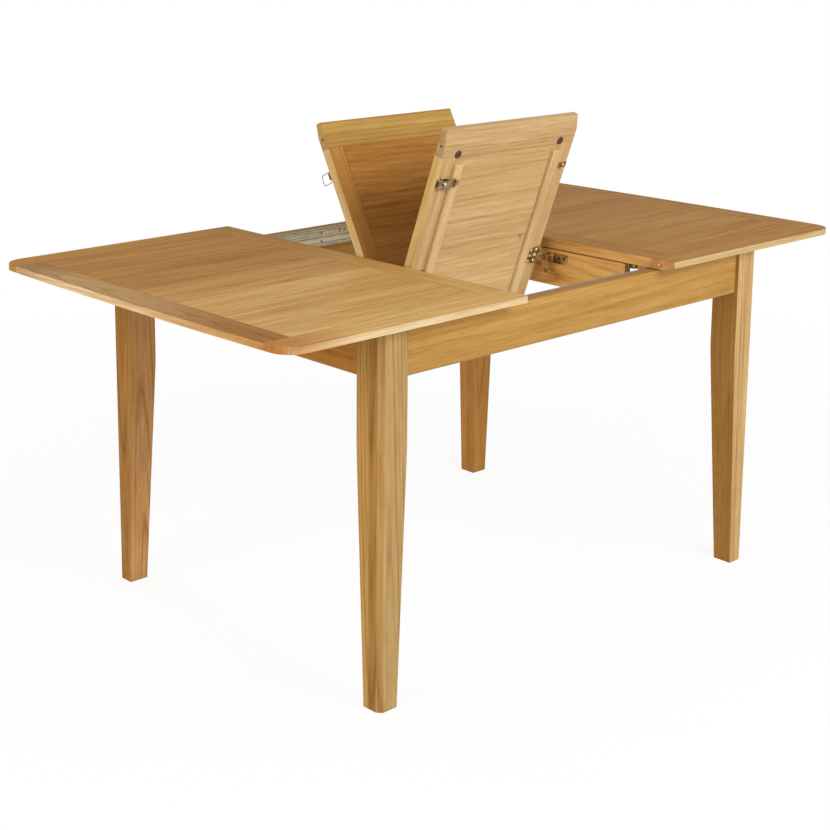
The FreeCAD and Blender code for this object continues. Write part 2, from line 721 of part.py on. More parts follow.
def top_wire(inset, z):
    """Plan outline of the right-hand top, drawn in by inset on its three outer edges."""
    wide, bow, corner = half_wide.value, s("end_bow").value, s("corner_round").value
    near = split_x.value
    far = near + s("section_long").value
    radius = (wide * wide + bow * bow) / (2 * bow)
    centre_x = far + bow - radius
    corner_x = centre_x + math.sqrt((radius - corner) ** 2 - (wide - corner) ** 2)
    corner_y = wide - corner
    angle = math.atan2(corner_y, corner_x - centre_x)

    def bow_point(a):
        return Vector(centre_x + (radius - inset) * math.cos(a), (radius - inset) * math.sin(a), z)

    def corner_point(a, sign):
        return Vector(corner_x + (corner - inset) * math.cos(a), sign * (corner_y + (corner - inset) * math.sin(a)), z)

    mid = (angle + math.pi / 2) / 2
    edge = wide - inset
    p = [Vector(near, -edge, z), Vector(corner_x, -edge, z), bow_point(-angle), bow_point(angle),
         Vector(corner_x, edge, z), Vector(near, edge, z)]
    edges = [
        Part.LineSegment(p[0], p[1]).toShape(),
        Part.Arc(p[1], corner_point(mid, -1), p[2]).toShape(),
        Part.Arc(p[2], bow_point(0), p[3]).toShape(),
        Part.Arc(p[3], corner_point(mid, 1), p[4]).toShape(),
        Part.LineSegment(p[4], p[5]).toShape(),
        Part.LineSegment(p[5], p[0]).toShape(),
    ]
    return Part.Wire(edges)


def top_blank(name, sx):
    """The whole top before it is divided into boards: a slab with a bevelled underside."""
    band_z = (under_z + s("bevel_high")).value
    upper = Part.Face(top_wire(0, band_z)).extrude(Vector(0, 0, top_z.value - band_z))
    lower = Part.makeLoft([top_wire(s("bevel_wide").value, under_z.value), top_wire(0, band_z)], True, True)
    slab = upper.fuse(lower).removeSplitter()
    high = top_z.value
    near = split_x.value
    rim = [e for e in slab.Edges
           if abs(e.BoundBox.ZMin - high) < 1e-6 and e.BoundBox.XMax > near + 1e-3]
    slab = slab.makeFillet(s("arris_round").value, rim)
    if sx < 0:
        slab = slab.mirror(Vector(0, 0, 0), X_AXIS)
    blank = doc.addObject("Part::Feature", name)
    blank.Shape = slab
    blank.Placement = Placement()
    return blank


def divide_top(side, sx):
    """The boards of one top, cut from its blank along the border lines."""
    over = s("end_bow") + s("corner_round")
    outer_x = split_x + s("section_long")
    inner_end_x = outer_x - s("end_border")
    inner_split_x = split_x + s("split_border")
    border_y = half_wide - s("side_border")
    z = (under_z - over, top_z + over)
    cells = {
        "side_border_near": ((split_x, outer_x + over), (-half_wide - over, -border_y)),
        "side_border_far": ((split_x, outer_x + over), (border_y, half_wide + over)),
        "end_border": ((inner_end_x, outer_x + over), (-border_y, border_y)),
        "split_border": ((split_x, inner_split_x), (-border_y, border_y)),
        "panel": ((inner_split_x, inner_end_x), (-border_y, border_y)),
    }
    for piece, (x, y) in cells.items():
        label = "%s_top_%s" % (side, piece)
        blank = top_blank(label + "_blank", sx)
        cell = box(label + "_cell", (sx * x[0], sx * x[1]), y, z)
        board = common(label + "_board", blank, cell)
        if piece.startswith("side_border"):
            sy = -1 if piece.endswith("near") else 1
            pin_y = sy * (half_wide - s("pin_from_side"))
            pin_z = top_z - s("top_thick") / 2
            hole = rod(label + "_pin_hole", "X", sx * (split_x - s("pin_out")),
                       sx * (split_x + s("pin_in")), (pin_y, pin_z), s("pin_size") / 2)
            board = cut(label + "_bored", board, [hole])
        keep(board, label)


def locating_pin(name, sx, sy):
    """A plain brass pin with a rounded tip, let into the split edge."""
    radius = s("pin_size") / 2
    tip_x = split_x - s("pin_out")
    inner_x = split_x + s("pin_in")
    body = new_body("Body_" + name)
    sketch = sketch_on(body, "XY", name + "_half", 0)
    nose = radius / 2
    draw_polygon(sketch, [(0, 0), (inner_x - tip_x, 0), (inner_x - tip_x, radius), (nose, radius), (0, nose)])
    turned = body.newObject("PartDesign::Revolution", name + "_turned")
    turned.Profile = sketch
    turned.ReferenceAxis = (sketch, ["H_Axis"])
    turned.Angle = 360
    y = sy * (half_wide - s("pin_from_side"))
    z = top_z - s("top_thick") / 2
    turn = Rotation() if sx > 0 else Rotation(Z_AXIS, 180)
    body.Placement = Placement(Vector(sx * tip_x.value, y.value, z.value), turn)
    return body


def latch_catch(name, edge, sy):
    """A catch plate inward of a board's edge: a latch bail closes over the lip at its far end."""
    sheet_t = s("latch_sheet")
    reach = s("bail_long") - s("bail_in") - s("bail_wire") / 2 - s("catch_clear")
    lip = edge - reach
    near_edge = edge - s("catch_from_edge")
    body = new_body("Body_" + name)
    y_high = sy * latch_y + s("catch_wide") / 2
    sketch = sketch_on(body, "XZ", name + "_section", -y_high)
    draw_polygon(sketch, [
        (near_edge, under_z),
        (near_edge, under_z - sheet_t),
        (lip + sheet_t, under_z - sheet_t),
        (lip + sheet_t, under_z - s("catch_drop")),
        (lip, under_z - s("catch_drop")),
        (lip, under_z),
    ])
    pad(body, sketch, name + "_bent", s("catch_wide"))
    return body


for side, sx in SIDES_X.items():
    divide_top(side, sx)
    runners = []
    bearers = []
    pins = []
    for name_y, sy in SIDES_Y.items():
        tag = "%s_%s" % (side, name_y)
        bearers.append(box("bearer_" + tag, (sx * bearer_near_x, sx * bearer_far_x),
                           (sy * bearer_in_y, sy * bearer_out_y), (bearer_low_z, under_z)))
        runners += make_runner("runner_" + tag, sx, sy, side)
        pins.append(locating_pin("pin_" + tag, sx, sy))
    keep(group("bearers_" + side, bearers), side + "_top_bearers")
    keep(group("runners_" + side, runners), side + "_slide_runners")
    keep(group("pins_" + side, pins), side + "_locating_pins")


# ---- leaf placements -----------------------------------------------------------------------

pivot = Vector(0, pivot_y.value, pivot_z.value)
fold = Vector(0, 0, fold_z.value)


def turned_about(point, degrees):
    """Turn about a line through the point, parallel to X."""
    rotation = Rotation(X_AXIS, degrees)
    return Placement(point - rotation.multVec(point), rotation)


near_placement = turned_about(pivot, -s("near_rise").value)
fold_at_rest = near_placement.multVec(fold)
far_turn = Rotation(X_AXIS, s("far_rise").value)
far_placement = Placement(fold_at_rest - far_turn.multVec(fold), far_turn)
LEAF = {"near": near_placement, "far": far_placement}


def keep_on_leaf(obj, label, half):
    """Lifts a flat leaf piece to its stored angle, leaving its own placement inside it."""
    lifted = group(label + "_lifted", [obj])
    lifted.Placement = LEAF[half]
    return keep(lifted, label)


# ---- leaf boards ---------------------------------------------------------------------------

def fold_recess(name, half, sx):
    """Recess in the end of a leaf half for its fold hinge plate and the eyes at the corner."""
    sy = SIDES_Y[half]
    deep = s("fold_plate_thick") * (1 if half == "near" else 2) + s("fold_clear")
    plate_low = top_z - s("fold_plate_high") - s("fold_clear")
    slot = box(name + "_slot", (sx * (leaf_end_x - deep), sx * (leaf_end_x + 1)),
               (0, sy * (s("fold_plate_long") + s("fold_clear"))), (plate_low, top_z + 1))
    eye_deep = 2 * s("fold_plate_thick") + 2 * s("fold_clear")
    eye = rod(name + "_eye", "X", sx * (leaf_end_x - eye_deep), sx * (leaf_end_x + 1),
              (as_size(0), fold_z), s("fold_eye") + s("fold_clear"))
    return [slot, eye]


for half, sy in SIDES_Y.items():
    joint_y = s("fold_gap") / 2
    border_y = half_wide - s("side_border")
    end_x = leaf_end_x
    inner_x = leaf_end_x - s("leaf_end_border")
    z = (under_z, top_z)
    # Free border: same bevelled section as the sides of the tops, extruded along X.
    label = half + "_leaf_free_border"
    body = new_body("Body_" + label)
    sketch = sketch_on(body, "YZ", label + "_section", -end_x)
    section = [
        (border_y, under_z),
        (half_wide - s("bevel_wide"), under_z),
        (half_wide, under_z + s("bevel_high")),
        (half_wide, top_z),
        (border_y, top_z),
    ]
    draw_polygon(sketch, [(sy * y, zz) for y, zz in section])
    pad(body, sketch, label + "_extrusion", 2 * end_x)
    rim_y, rim_z = half_wide.value, top_z.value
    soften(body, "Fillet", label + "_arris", s("arris_round"),
           lambda edge: along(edge, X_AXIS) and abs(edge.BoundBox.ZMin - rim_z) < 0.01
           and abs(abs(edge.BoundBox.YMin) - rim_y) < 0.01)
    pin_y = sy * (half_wide - s("pin_from_side"))
    pin_z = top_z - s("top_thick") / 2
    sockets = []
    for name_x, sx in SIDES_X.items():
        inward = s("pin_out") + 1
        sockets.append(rod("%s_socket_%s" % (label, name_x), "X", sx * (end_x - inward), sx * (end_x + 1),
                           (pin_y, pin_z), s("pin_size") / 2 + s("pin_hole_clear")))
    keep_on_leaf(cut(label + "_bored", body, sockets), label, half)
    # Panel and end borders.
    panel = box("%s_leaf_panel_board" % half, (-inner_x, inner_x), (sy * joint_y, sy * border_y), z)
    keep_on_leaf(panel, half + "_leaf_panel", half)
    ends = []
    for name_x, sx in SIDES_X.items():
        tag = "%s_leaf_end_%s" % (half, name_x)
        board = box(tag + "_board", (sx * inner_x, sx * end_x), (sy * joint_y, sy * border_y), z)
        ends.append(cut(tag, board, fold_recess(tag, half, sx)))
    keep_on_leaf(group(half + "_leaf_ends", ends), half + "_leaf_end_borders", half)
    # Battens and bumpers under the leaf.
    battens = []
    bumpers = []
    batten_end = slide_in_y - s("slide_run") - s("batten_clear")
    for name_x, sx in SIDES_X.items():
        tag = "%s_%s" % (half, name_x)
        body = new_body("Body_batten_" + tag)
        middle = sx * s("batten_centre")
        wide = s("batten_wide") / 2
        y_pair = sorted((sy * s("batten_from_fold"), sy * batten_end), key=lambda q: q.value)
        sketch = sketch_on(body, "XY", "batten_outline_" + tag, under_z - s("batten_thick"))
        draw_polygon(sketch, [(middle - wide, y_pair[0]), (middle + wide, y_pair[0]),
                              (middle + wide, y_pair[1]), (middle - wide, y_pair[1])])
        pad(body, sketch, "batten_pad_" + tag, s("batten_thick"))
        low = (under_z - s("batten_thick")).value
        soften(body, "Chamfer", "batten_arris_" + tag, s("batten_arris"),
               lambda edge: abs(edge.BoundBox.ZMax - low) < 0.01)
        battens.append(body)
        body = new_body("Body_bumper_" + tag)
        high = s("top_clear") - s("bumper_clear")
        radius = s("bumper_size") / 2
        sketch = sketch_on(body, "XZ", "bumper_half_" + tag, 0)
        draw_polygon(sketch, [(0, 0), (radius, 0), (radius, -high / 2), (radius - high / 2, -high), (0, -high)])
        dome = body.newObject("PartDesign::Revolution", "bumper_dome_" + tag)
        dome.Profile = sketch
        dome.ReferenceAxis = (sketch, ["V_Axis"])
        dome.Angle = 360
        seat_x = sx * (leaf_end_x - s("bumper_from_end"))
        seat_y = sy * (rail_in_y + s("rail_thick") / 2)
        body.Placement = Placement(Vector(seat_x.value, seat_y.value, under_z.value), Rotation())
        bumpers.append(body)
    keep_on_leaf(group(half + "_battens_group", battens), half + "_leaf_battens", half)
    keep_on_leaf(group(half + "_bumpers_group", bumpers), half + "_leaf_bumpers", half)


# ---- leaf pivots ---------------------------------------------------------------------------

plate_out_x = leaf_end_x - s("plate_inset")
arm_in_x = plate_out_x + s("arm_gap")
barrel_in_x = arm_in_x + s("arm_thick") + s("barrel_gap")
plates = []
arms = []
shafts = []
brackets = []
for name_x, sx in SIDES_X.items():
    # Plate under the near half, bent at its outer edge into a triangular flange with an eye.
    body = new_body("Body_pivot_plate_" + name_x)
    half_long = s("plate_long") / 2
    eye_r = s("eye_size") / 2
    low = under_z - s("plate_thick")
    flange_start = plate_out_x - s("plate_thick") if sx > 0 else -plate_out_x
    sketch = sketch_on(body, "YZ", "flange_outline_" + name_x, flange_start)
    draw_polygon(sketch, [
        (pivot_y - half_long, under_z),
        (pivot_y - half_long, low - s("plate_thick")),
        (pivot_y - eye_r, pivot_z),
        (pivot_y - eye_r * 0.5, pivot_z - eye_r * 0.87),
        (pivot_y + eye_r * 0.5, pivot_z - eye_r * 0.87),
        (pivot_y + eye_r, pivot_z),
        (pivot_y + half_long, low - s("plate_thick")),
        (pivot_y + half_long, under_z),
    ])
    pad(body, sketch, "flange_" + name_x, s("plate_thick"))
    doc.recompute()
    eye = sketch_on(body, "YZ", "eye_" + name_x, 0)
    draw_circle(eye, (pivot_y, pivot_z), s("shaft_size") / 2 + s("shaft_run"))
    pocket_through(body, eye, "eye_bore_" + name_x)
    leafy = sketch_on(body, "XY", "plate_outline_" + name_x, low)
    inner = plate_out_x - s("plate_wide")
    taper = s("plate_long") / 8
    draw_polygon(leafy, [
        (sx * plate_out_x, pivot_y - half_long),
        (sx * plate_out_x, pivot_y + half_long),
        (sx * inner, pivot_y + half_long - taper),
        (sx * inner, pivot_y - half_long + taper),
    ])
    pad(body, leafy, "plate_" + name_x, s("plate_thick"))
    doc.recompute()
    screws = sketch_on(body, "XY", "plate_holes_" + name_x, low)
    step_x = s("plate_wide") / 3
    step_y = s("plate_long") / 3
    for column in (0.75, 2.1):
        for line in (-1, 0, 1):
            draw_circle(screws, (sx * (plate_out_x - column * step_x), pivot_y + line * step_y * 0.95),
                        s("plate_hole") / 2)
    pocket_through(body, screws, "plate_drilled_" + name_x)
    plates.append(body)
    # Arm between the leaf plate and the bracket: the two turns of the leaf share its pin.
    body = new_body("Body_pivot_arm_" + name_x)
    start = arm_in_x if sx > 0 else -(arm_in_x + s("arm_thick"))
    lean = math.radians(s("arm_lean").value)
    sketch = sketch_on(body, "YZ", "arm_outline_" + name_x, start)
    corners = []
    for across, down in ((-eye_r, 0), (-s("arm_wide") / 2, s("arm_long") * 0.8), (-s("arm_wide") / 3, s("arm_long")),
                         (s("arm_wide") / 3, s("arm_long")), (s("arm_wide") / 2, s("arm_long") * 0.8), (eye_r, 0)):
        corners.append((pivot_y + across * math.cos(lean) - down * math.sin(lean),
                        pivot_z - across * math.sin(lean) - down * math.cos(lean)))
    draw_polygon(sketch, corners)
    pad(body, sketch, "arm_" + name_x, s("arm_thick"))
    doc.recompute()
    ring = sketch_on(body, "YZ", "arm_eye_" + name_x, start)
    draw_circle(ring, (pivot_y, pivot_z), eye_r)
    pad(body, ring, "arm_eye_pad_" + name_x, s("arm_thick"))
    doc.recompute()
    bore = sketch_on(body, "YZ", "arm_bore_" + name_x, 0)
    draw_circle(bore, (pivot_y, pivot_z), s("shaft_size") / 2 + s("shaft_run"))
    pocket_through(body, bore, "arm_bored_" + name_x)
    arms.append(body)
    # Pin through the eye into the barrel of the bracket.
    back_x = s("cross_face")
    head_x = plate_out_x - s("plate_thick") - s("slide_run")
    shaft = rod("shaft_" + name_x, "X", sx * head_x, sx * (back_x - s("slide_run")), (pivot_y, pivot_z),
                s("shaft_size") / 2)
    head = rod("shaft_head_" + name_x, "X", sx * (head_x - s("shaft_head_thick")), sx * head_x,
               (pivot_y, pivot_z), s("shaft_head") / 2)
    shafts.append(fuse("pivot_shaft_" + name_x, [shaft, head]))
    # Bracket: a plate on the cross rail, a barrel and a web under the barrel.
    body = new_body("Body_bracket_" + name_x)
    plate_x = back_x - s("bracket_thick")
    start = plate_x if sx > 0 else -back_x
    sketch = sketch_on(body, "YZ", "bracket_outline_" + name_x, start)
    edge_y = pivot_y + s("barrel_size")
    top = pivot_z + s("barrel_size") / 2 + 1
    draw_polygon(sketch, [
        (edge_y, top - s("bracket_high") / 4),
        (edge_y - s("barrel_size") / 2, top),
        (edge_y - s("bracket_long"), top),
        (edge_y - s("bracket_long"), top - s("bracket_high") * 0.7),
        (edge_y - s("bracket_long") + s("barrel_size"), top - s("bracket_high")),
        (edge_y, top - s("bracket_high")),
    ])
    pad(body, sketch, "bracket_plate_" + name_x, s("bracket_thick"))
    doc.recompute()
    barrel_long = plate_x - barrel_in_x
    start = barrel_in_x if sx > 0 else -plate_x
    ring = sketch_on(body, "YZ", "barrel_outline_" + name_x, start)
    draw_circle(ring, (pivot_y, pivot_z), s("barrel_size") / 2)
    pad(body, ring, "barrel_" + name_x, barrel_long)
    doc.recompute()
    web = sketch_on(body, "XZ", "web_outline_" + name_x, -(pivot_y - s("barrel_size") / 4))
    web_low = pivot_z - s("barrel_size") / 2
    draw_polygon(web, [
        (sx * plate_x, web_low + s("web_lap")),
        (sx * (barrel_in_x + barrel_long / 3), web_low + s("web_lap")),
        (sx * plate_x, top - s("bracket_high") + s("web_lap")),
    ])
    pad(body, web, "web_" + name_x, s("bracket_thick"))
    doc.recompute()
    bore = sketch_on(body, "YZ", "barrel_bore_" + name_x, 0)
    draw_circle(bore, (pivot_y, pivot_z), s("shaft_size") / 2 + s("shaft_run"))
    pocket_through(body, bore, "barrel_bored_" + name_x)
    fixings = sketch_on(body, "YZ", "bracket_holes_" + name_x, 0)
    for share in (0.42, 0.64, 0.86):
        draw_circle(fixings, (edge_y - share * s("bracket_long"), top - s("bracket_high") * 0.4),
                    s("bracket_hole") / 2)
    pocket_through(body, fixings, "bracket_drilled_" + name_x)
    brackets.append(body)
keep_on_leaf(group("pivot_plates_group", plates), "leaf_pivot_plates", "near")
keep(group("pivot_arms_group", arms), "leaf_pivot_arms")
keep(group("pivot_shafts_group", shafts), "leaf_pivot_pins")
keep(group("brackets_group", brackets), "leaf_pivot_brackets")


# ---- fold hinges ---------------------------------------------------------------------------

for half, sy in SIDES_Y.items():
    hinges = []
    for name_x, sx in SIDES_X.items():
        tag = "%s_%s" % (half, name_x)
        thick = s("fold_plate_thick")
        skip = s("fold_clear") / 2
        out_x = leaf_end_x if half == "near" else leaf_end_x - thick - skip
        start = out_x - thick if sx > 0 else -out_x
        body = new_body("Body_fold_plate_" + tag)
        sketch = sketch_on(body, "YZ", "fold_outline_" + tag, start)
        inner_y = s("fold_eye") + s("fold_clear") + joint_y
        low = top_z - s("fold_plate_high")
        high = top_z - s("fold_clear")
        eye_low = fold_z - s("fold_eye")
        draw_polygon(sketch, [
            (0, fold_z),
            (0, eye_low),
            (sy * joint_y, eye_low),
            (sy * inner_y, low),
            (sy * s("fold_plate_long"), low),
            (sy * s("fold_plate_long"), high),
            (sy * inner_y, high),
            (sy * inner_y, fold_z),
        ])
        pad(body, sketch, "fold_plate_" + tag, thick)
        doc.recompute()
        ring = sketch_on(body, "YZ", "fold_eye_" + tag, start)
        draw_circle(ring, (0, fold_z), s("fold_eye"))
        pad(body, ring, "fold_eye_pad_" + tag, thick)
        doc.recompute()
        if half == "far":
            bore = sketch_on(body, "YZ", "fold_bore_" + tag, 0)
            draw_circle(bore, (0, fold_z), s("fold_pin") + s("fold_run"))
            pocket_through(body, bore, "fold_bored_" + tag)
            hinges.append(body)
        else:
            stub = rod("fold_pin_" + tag, "X", sx * (leaf_end_x - 2 * thick - skip), sx * leaf_end_x,
                       (as_size(0), fold_z), s("fold_pin"))
            hinges.append(fuse("fold_hinge_" + tag, [body, stub]))
    keep_on_leaf(group(half + "_fold_hinges_group", hinges), half + "_fold_hinge_plates", half)


# ---- latches -------------------------------------------------------------------------------

# The left latches sit under the leaf and catch the left top; the right ones sit under the right
# top and catch the leaf. So all four face the same way: inward is +X from the edge they guard.
LATCH_EDGE = {"left": -leaf_end_x, "right": split_x}
CATCH_EDGE = {"left": -split_x, "right": leaf_end_x}


def latch_base(name, edge, sy):
    """Base plate with two ears and the lever's pin."""
    y = sy * latch_y
    wide = s("latch_base_wide") / 2
    sheet_t = s("latch_sheet")
    pin_x, pin_z = edge + s("latch_pin_in"), under_z - s("latch_pin_drop")
    back = pin_x - s("latch_ear")
    shapes = [box(name + "_plate", (back, back + s("latch_base_long")), (y - wide, y + wide),
                  (under_z - sheet_t, under_z))]
    for tag, sign in (("a", -1), ("b", 1)):
        side_y = (y + sign * wide, y + sign * (wide - sheet_t))
        shapes.append(box("%s_ear_%s" % (name, tag), (back, pin_x + s("latch_ear")), side_y, (pin_z, under_z)))
        shapes.append(rod("%s_lobe_%s" % (name, tag), "Y", side_y[0], side_y[1], (pin_x, pin_z), s("latch_ear")))
    shapes.append(rod(name + "_pin", "Y", y - wide, y + wide, (pin_x, pin_z), s("latch_pin_size") / 2))
    return fuse(name, shapes)


def latch_lever(name, edge, sy):
    """Lever: a plate with a rounded thumb end and two cheeks that run on the pin."""
    y = sy * latch_y
    wide = s("lever_wide") / 2
    sheet_t = s("latch_sheet")
    pin_x, pin_z = edge + s("latch_pin_in"), under_z - s("latch_pin_drop")
    back = pin_x - s("latch_ear")
    plate_top = under_z - s("lever_drop")
    plate_low = plate_top - sheet_t
    tip = back + s("lever_long") - wide
    shapes = [
        box(name + "_plate", (back, tip), (y - wide, y + wide), (plate_low, plate_top)),
        rod(name + "_thumb", "Z", plate_low, plate_top, (tip, y), wide),
    ]
    bail_x, bail_z = edge + s("bail_in"), under_z - s("bail_drop")
    cheek_end = bail_x + s("bail_wire") + s("cheek_past_bail")
    for tag, sign in (("a", -1), ("b", 1)):
        side_y = (y + sign * wide, y + sign * (wide - sheet_t))
        shapes.append(box("%s_cheek_%s" % (name, tag), (back, cheek_end), side_y,
                          (plate_low, bail_z + s("bail_wire"))))
    bores = [
        rod(name + "_bore", "Y", y - 2 * wide, y + 2 * wide, (pin_x, pin_z),
            s("latch_pin_size") / 2 + s("latch_run")),
        rod(name + "_bail_bore", "Y", y - 2 * wide, y + 2 * wide, (bail_x, bail_z),
            s("bail_wire") / 2 + s("latch_run")),
    ]
    return cut(name, fuse(name + "_solid", shapes), bores)


def bend(centre, radius, start, end, steps):
    """Points along a bend of the wire, as offsets across and down, angles in degrees."""
    points = []
    for i in range(steps + 1):
        angle = math.radians(start + (end - start) * i / steps)
        points.append((centre[0] + radius * math.cos(angle), centre[1] + radius * math.sin(angle)))
    return points


def latch_bail(name, edge, sy, swing):
    """Wire bail: a loop hung from the lever, swung outward from square to the board."""
    y = sy * latch_y.value
    x = (edge + s("bail_in")).value
    z = (under_z - s("bail_drop")).value
    half, wire = s("bail_wide").value / 2, s("bail_wire").value
    stub = (s("lever_wide") / 2 - s("latch_sheet") - s("catch_clear")).value
    long, corner, root = s("bail_long").value, s("bail_corner").value, wire
    leg = [(stub, 0)]
    leg += bend((half - root, root), root, -90, 0, 2)
    leg += bend((half - corner, long - corner), corner, 0, 90, 3)
    route = leg + [(-across, down) for across, down in reversed(leg)]
    path = Part.makePolygon([Vector(x, y + across, z - down) for across, down in route])
    ring = []
    for i in range(9):
        angle = math.radians(45 * i + 22.5)
        ring.append(Vector(x + wire / 2 * math.cos(angle), y + route[0][0], z + wire / 2 * math.sin(angle)))
    bail = doc.addObject("Part::Feature", name)
    bail.Shape = path.makePipeShell([Part.makePolygon(ring)], True, False, 1)
    root_point = Vector(x, y, z)
    turn = Rotation(Y_AXIS, swing)
    bail.Placement = Placement(root_point - turn.multVec(root_point), turn)
    return bail


# Three bails lie folded back over their levers; the far left one hangs square to the leaf.
over_lever = s("lever_drop") + s("latch_sheet") + s("bail_wire") / 2 + s("catch_clear") - s("bail_drop")
folded_back = math.degrees(math.asin(over_lever.value / s("bail_long").value)) - 90
right_bases = []
left_catches = []
for half, sy in SIDES_Y.items():
    tag = half + "_left"
    edge = LATCH_EDGE["left"]
    plates = [latch_base("latch_base_" + tag, edge, sy), latch_catch("catch_%s_right" % half, CATCH_EDGE["right"], sy)]
    keep_on_leaf(group(half + "_latch_bases_group", plates), half + "_latch_bases", half)
    keep_on_leaf(latch_lever("lever_" + tag, edge, sy), "latch_lever_" + tag, half)
    swing = folded_back if half == "near" else 0
    keep_on_leaf(latch_bail("bail_" + tag, edge, sy, swing), "latch_bail_" + tag, half)
    left_catches.append(latch_catch("catch_" + tag, CATCH_EDGE["left"], sy))
    tag = half + "_right"
    edge = LATCH_EDGE["right"]
    right_bases.append(latch_base("latch_base_" + tag, edge, sy))
    keep(latch_lever("lever_" + tag, edge, sy), "latch_lever_" + tag)
    keep(latch_bail("bail_" + tag, edge, sy, folded_back), "latch_bail_" + tag)
keep(group("left_catches_group", left_catches), "left_latch_hooks")
keep(group("right_bases_group", right_bases), "right_latch_bases")


# ---- check and write -----------------------------------------------------------------------

doc.recompute()
for obj in doc.Objects:
    bad = [word for word in ("Invalid", "Error") if word in obj.State]
    if bad:
        raise RuntimeError("%s is %s" % (obj.Name, ", ".join(bad)))
os.makedirs("parts", exist_ok=True)
for node in nodes:
    shape = node.Shape
    if shape.isNull() or not shape.isValid() or not shape.Solids:
        raise RuntimeError("%s has no valid solid" % node.Label)
for node in nodes:
    node.Shape.exportStep("parts/%s.step" % node.Label)
    bounds = node.Shape.BoundBox
    print("%-28s %2d solids  %9.1f cm3  x %7.1f %7.1f  y %7.1f %7.1f  z %6.1f %6.1f" % (
        node.Label, len(node.Shape.Solids), node.Shape.Volume / 1000, bounds.XMin, bounds.XMax,
        bounds.YMin, bounds.YMax, bounds.ZMin, bounds.ZMax))
print("fold line at rest: y %.3f z %.3f" % (fold_at_rest.y, fold_at_rest.z))
print("%d nodes" % len(nodes))
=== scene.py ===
"""Looks of an extending oak dining table with a butterfly leaf, dressed on its CAD frame.

Lengths are in metres, Z is up, and X runs along the table. Every wood and metal is procedural, on
Object coordinates and the direction that a face looks in.
"""
import json
import math

import bpy
from mathutils import Matrix, Vector

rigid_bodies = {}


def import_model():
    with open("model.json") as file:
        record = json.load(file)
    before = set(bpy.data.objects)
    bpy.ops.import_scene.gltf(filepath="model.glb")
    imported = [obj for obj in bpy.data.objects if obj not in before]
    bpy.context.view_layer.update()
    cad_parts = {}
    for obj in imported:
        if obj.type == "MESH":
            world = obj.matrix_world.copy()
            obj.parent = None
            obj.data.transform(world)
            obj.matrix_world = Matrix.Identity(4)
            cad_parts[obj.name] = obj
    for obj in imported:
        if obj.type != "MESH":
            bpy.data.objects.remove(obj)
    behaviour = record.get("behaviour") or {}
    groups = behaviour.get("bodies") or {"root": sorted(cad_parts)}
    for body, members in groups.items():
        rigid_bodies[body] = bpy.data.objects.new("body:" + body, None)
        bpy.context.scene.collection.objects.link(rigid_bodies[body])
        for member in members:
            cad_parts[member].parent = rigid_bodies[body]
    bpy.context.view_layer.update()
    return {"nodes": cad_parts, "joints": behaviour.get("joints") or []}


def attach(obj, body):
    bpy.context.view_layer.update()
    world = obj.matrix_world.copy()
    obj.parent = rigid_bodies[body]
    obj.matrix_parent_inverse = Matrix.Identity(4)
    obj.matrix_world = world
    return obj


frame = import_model()
MM = 0.001

# ---- the leaf's two placements ------------------------------------------------------------------
# Leaf pieces are described flat, as they lie in use, and then lifted to the angles they stand at.
NEAR_RISE = math.radians(70.4)
FAR_RISE = math.radians(62.5)
TABLE_TOP = 770 * MM
LEAF_UNDER = 748 * MM
LEAF_END = 202.5 * MM
FOLD_ABOVE_TOP = 0.15 * MM
joint_place = {joint["name"]: Vector(joint["pos_m"]) for joint in frame["joints"] if "pos_m" in joint}
pivot = joint_place["leaf_unfold"]
fold = joint_place["leaf_fold"]
fold_flat = Vector((0, 0, TABLE_TOP + FOLD_ABOVE_TOP))


def turned(point, angle, start=None):
    """Turn about X by angle, taking start (or the point itself) to point."""
    start = point if start is None else start
    return Matrix.Translation(point) @ Matrix.Rotation(angle, 4, "X") @ Matrix.Translation(-start)


LIFT = {
    None: Matrix.Identity(4),
    "near": turned(pivot, -NEAR_RISE),
    "far": turned(fold, FAR_RISE, fold_flat),
}


# ---- shader maths -------------------------------------------------------------------------------

class Wire:
    """A node's output; arithmetic on it adds Math nodes."""

    def __init__(self, graph, socket):
        self.graph = graph
        self.socket = socket

    def math(self, operation, *others):
        inputs = {0: self}
        for index, other in enumerate(others, start=1):
            inputs[index] = other
        return self.graph.node("ShaderNodeMath", {"operation": operation}, inputs)

    def __add__(self, other):
        return self.math("ADD", other)

    __radd__ = __add__

    def __sub__(self, other):
        return self.math("SUBTRACT", other)

    def __rsub__(self, other):
        return self.graph.node("ShaderNodeMath", {"operation": "SUBTRACT"}, {0: other, 1: self})

    def __mul__(self, other):
        return self.math("MULTIPLY", other)

    __rmul__ = __mul__

    def __truediv__(self, other):
        return self.math("DIVIDE", other)

    def __pow__(self, other):
        return self.math("POWER", other)

    def floor(self):
        return self.math("FLOOR")

    def fract(self):
        return self.math("FRACT")

    def size(self):
        return self.math("ABSOLUTE")

    def root(self):
        return self.math("SQRT")

    def least(self, other):
        return self.math("MINIMUM", other)

    def most(self, other):
        return self.math("MAXIMUM", other)

    def ramp(self, low, high):
        """0 at low, 1 at high, smooth between them and level past them; low may be the larger."""
        settings = {"interpolation_type": "SMOOTHSTEP"}
        inputs = {"Value": self, "From Min": low, "From Max": high}
        return self.graph.node("ShaderNodeMapRange", settings, inputs)

    def between(self, low, high, soft):
        """1 between low and high, 0 outside, with soft ends."""
        return self.ramp(low - soft, low + soft) * (1.0 - self.ramp(high - soft, high + soft))


# How squarely a face has to look along an axis, from not at all to fully counted.
SQUARELY = (0.5, 0.9)


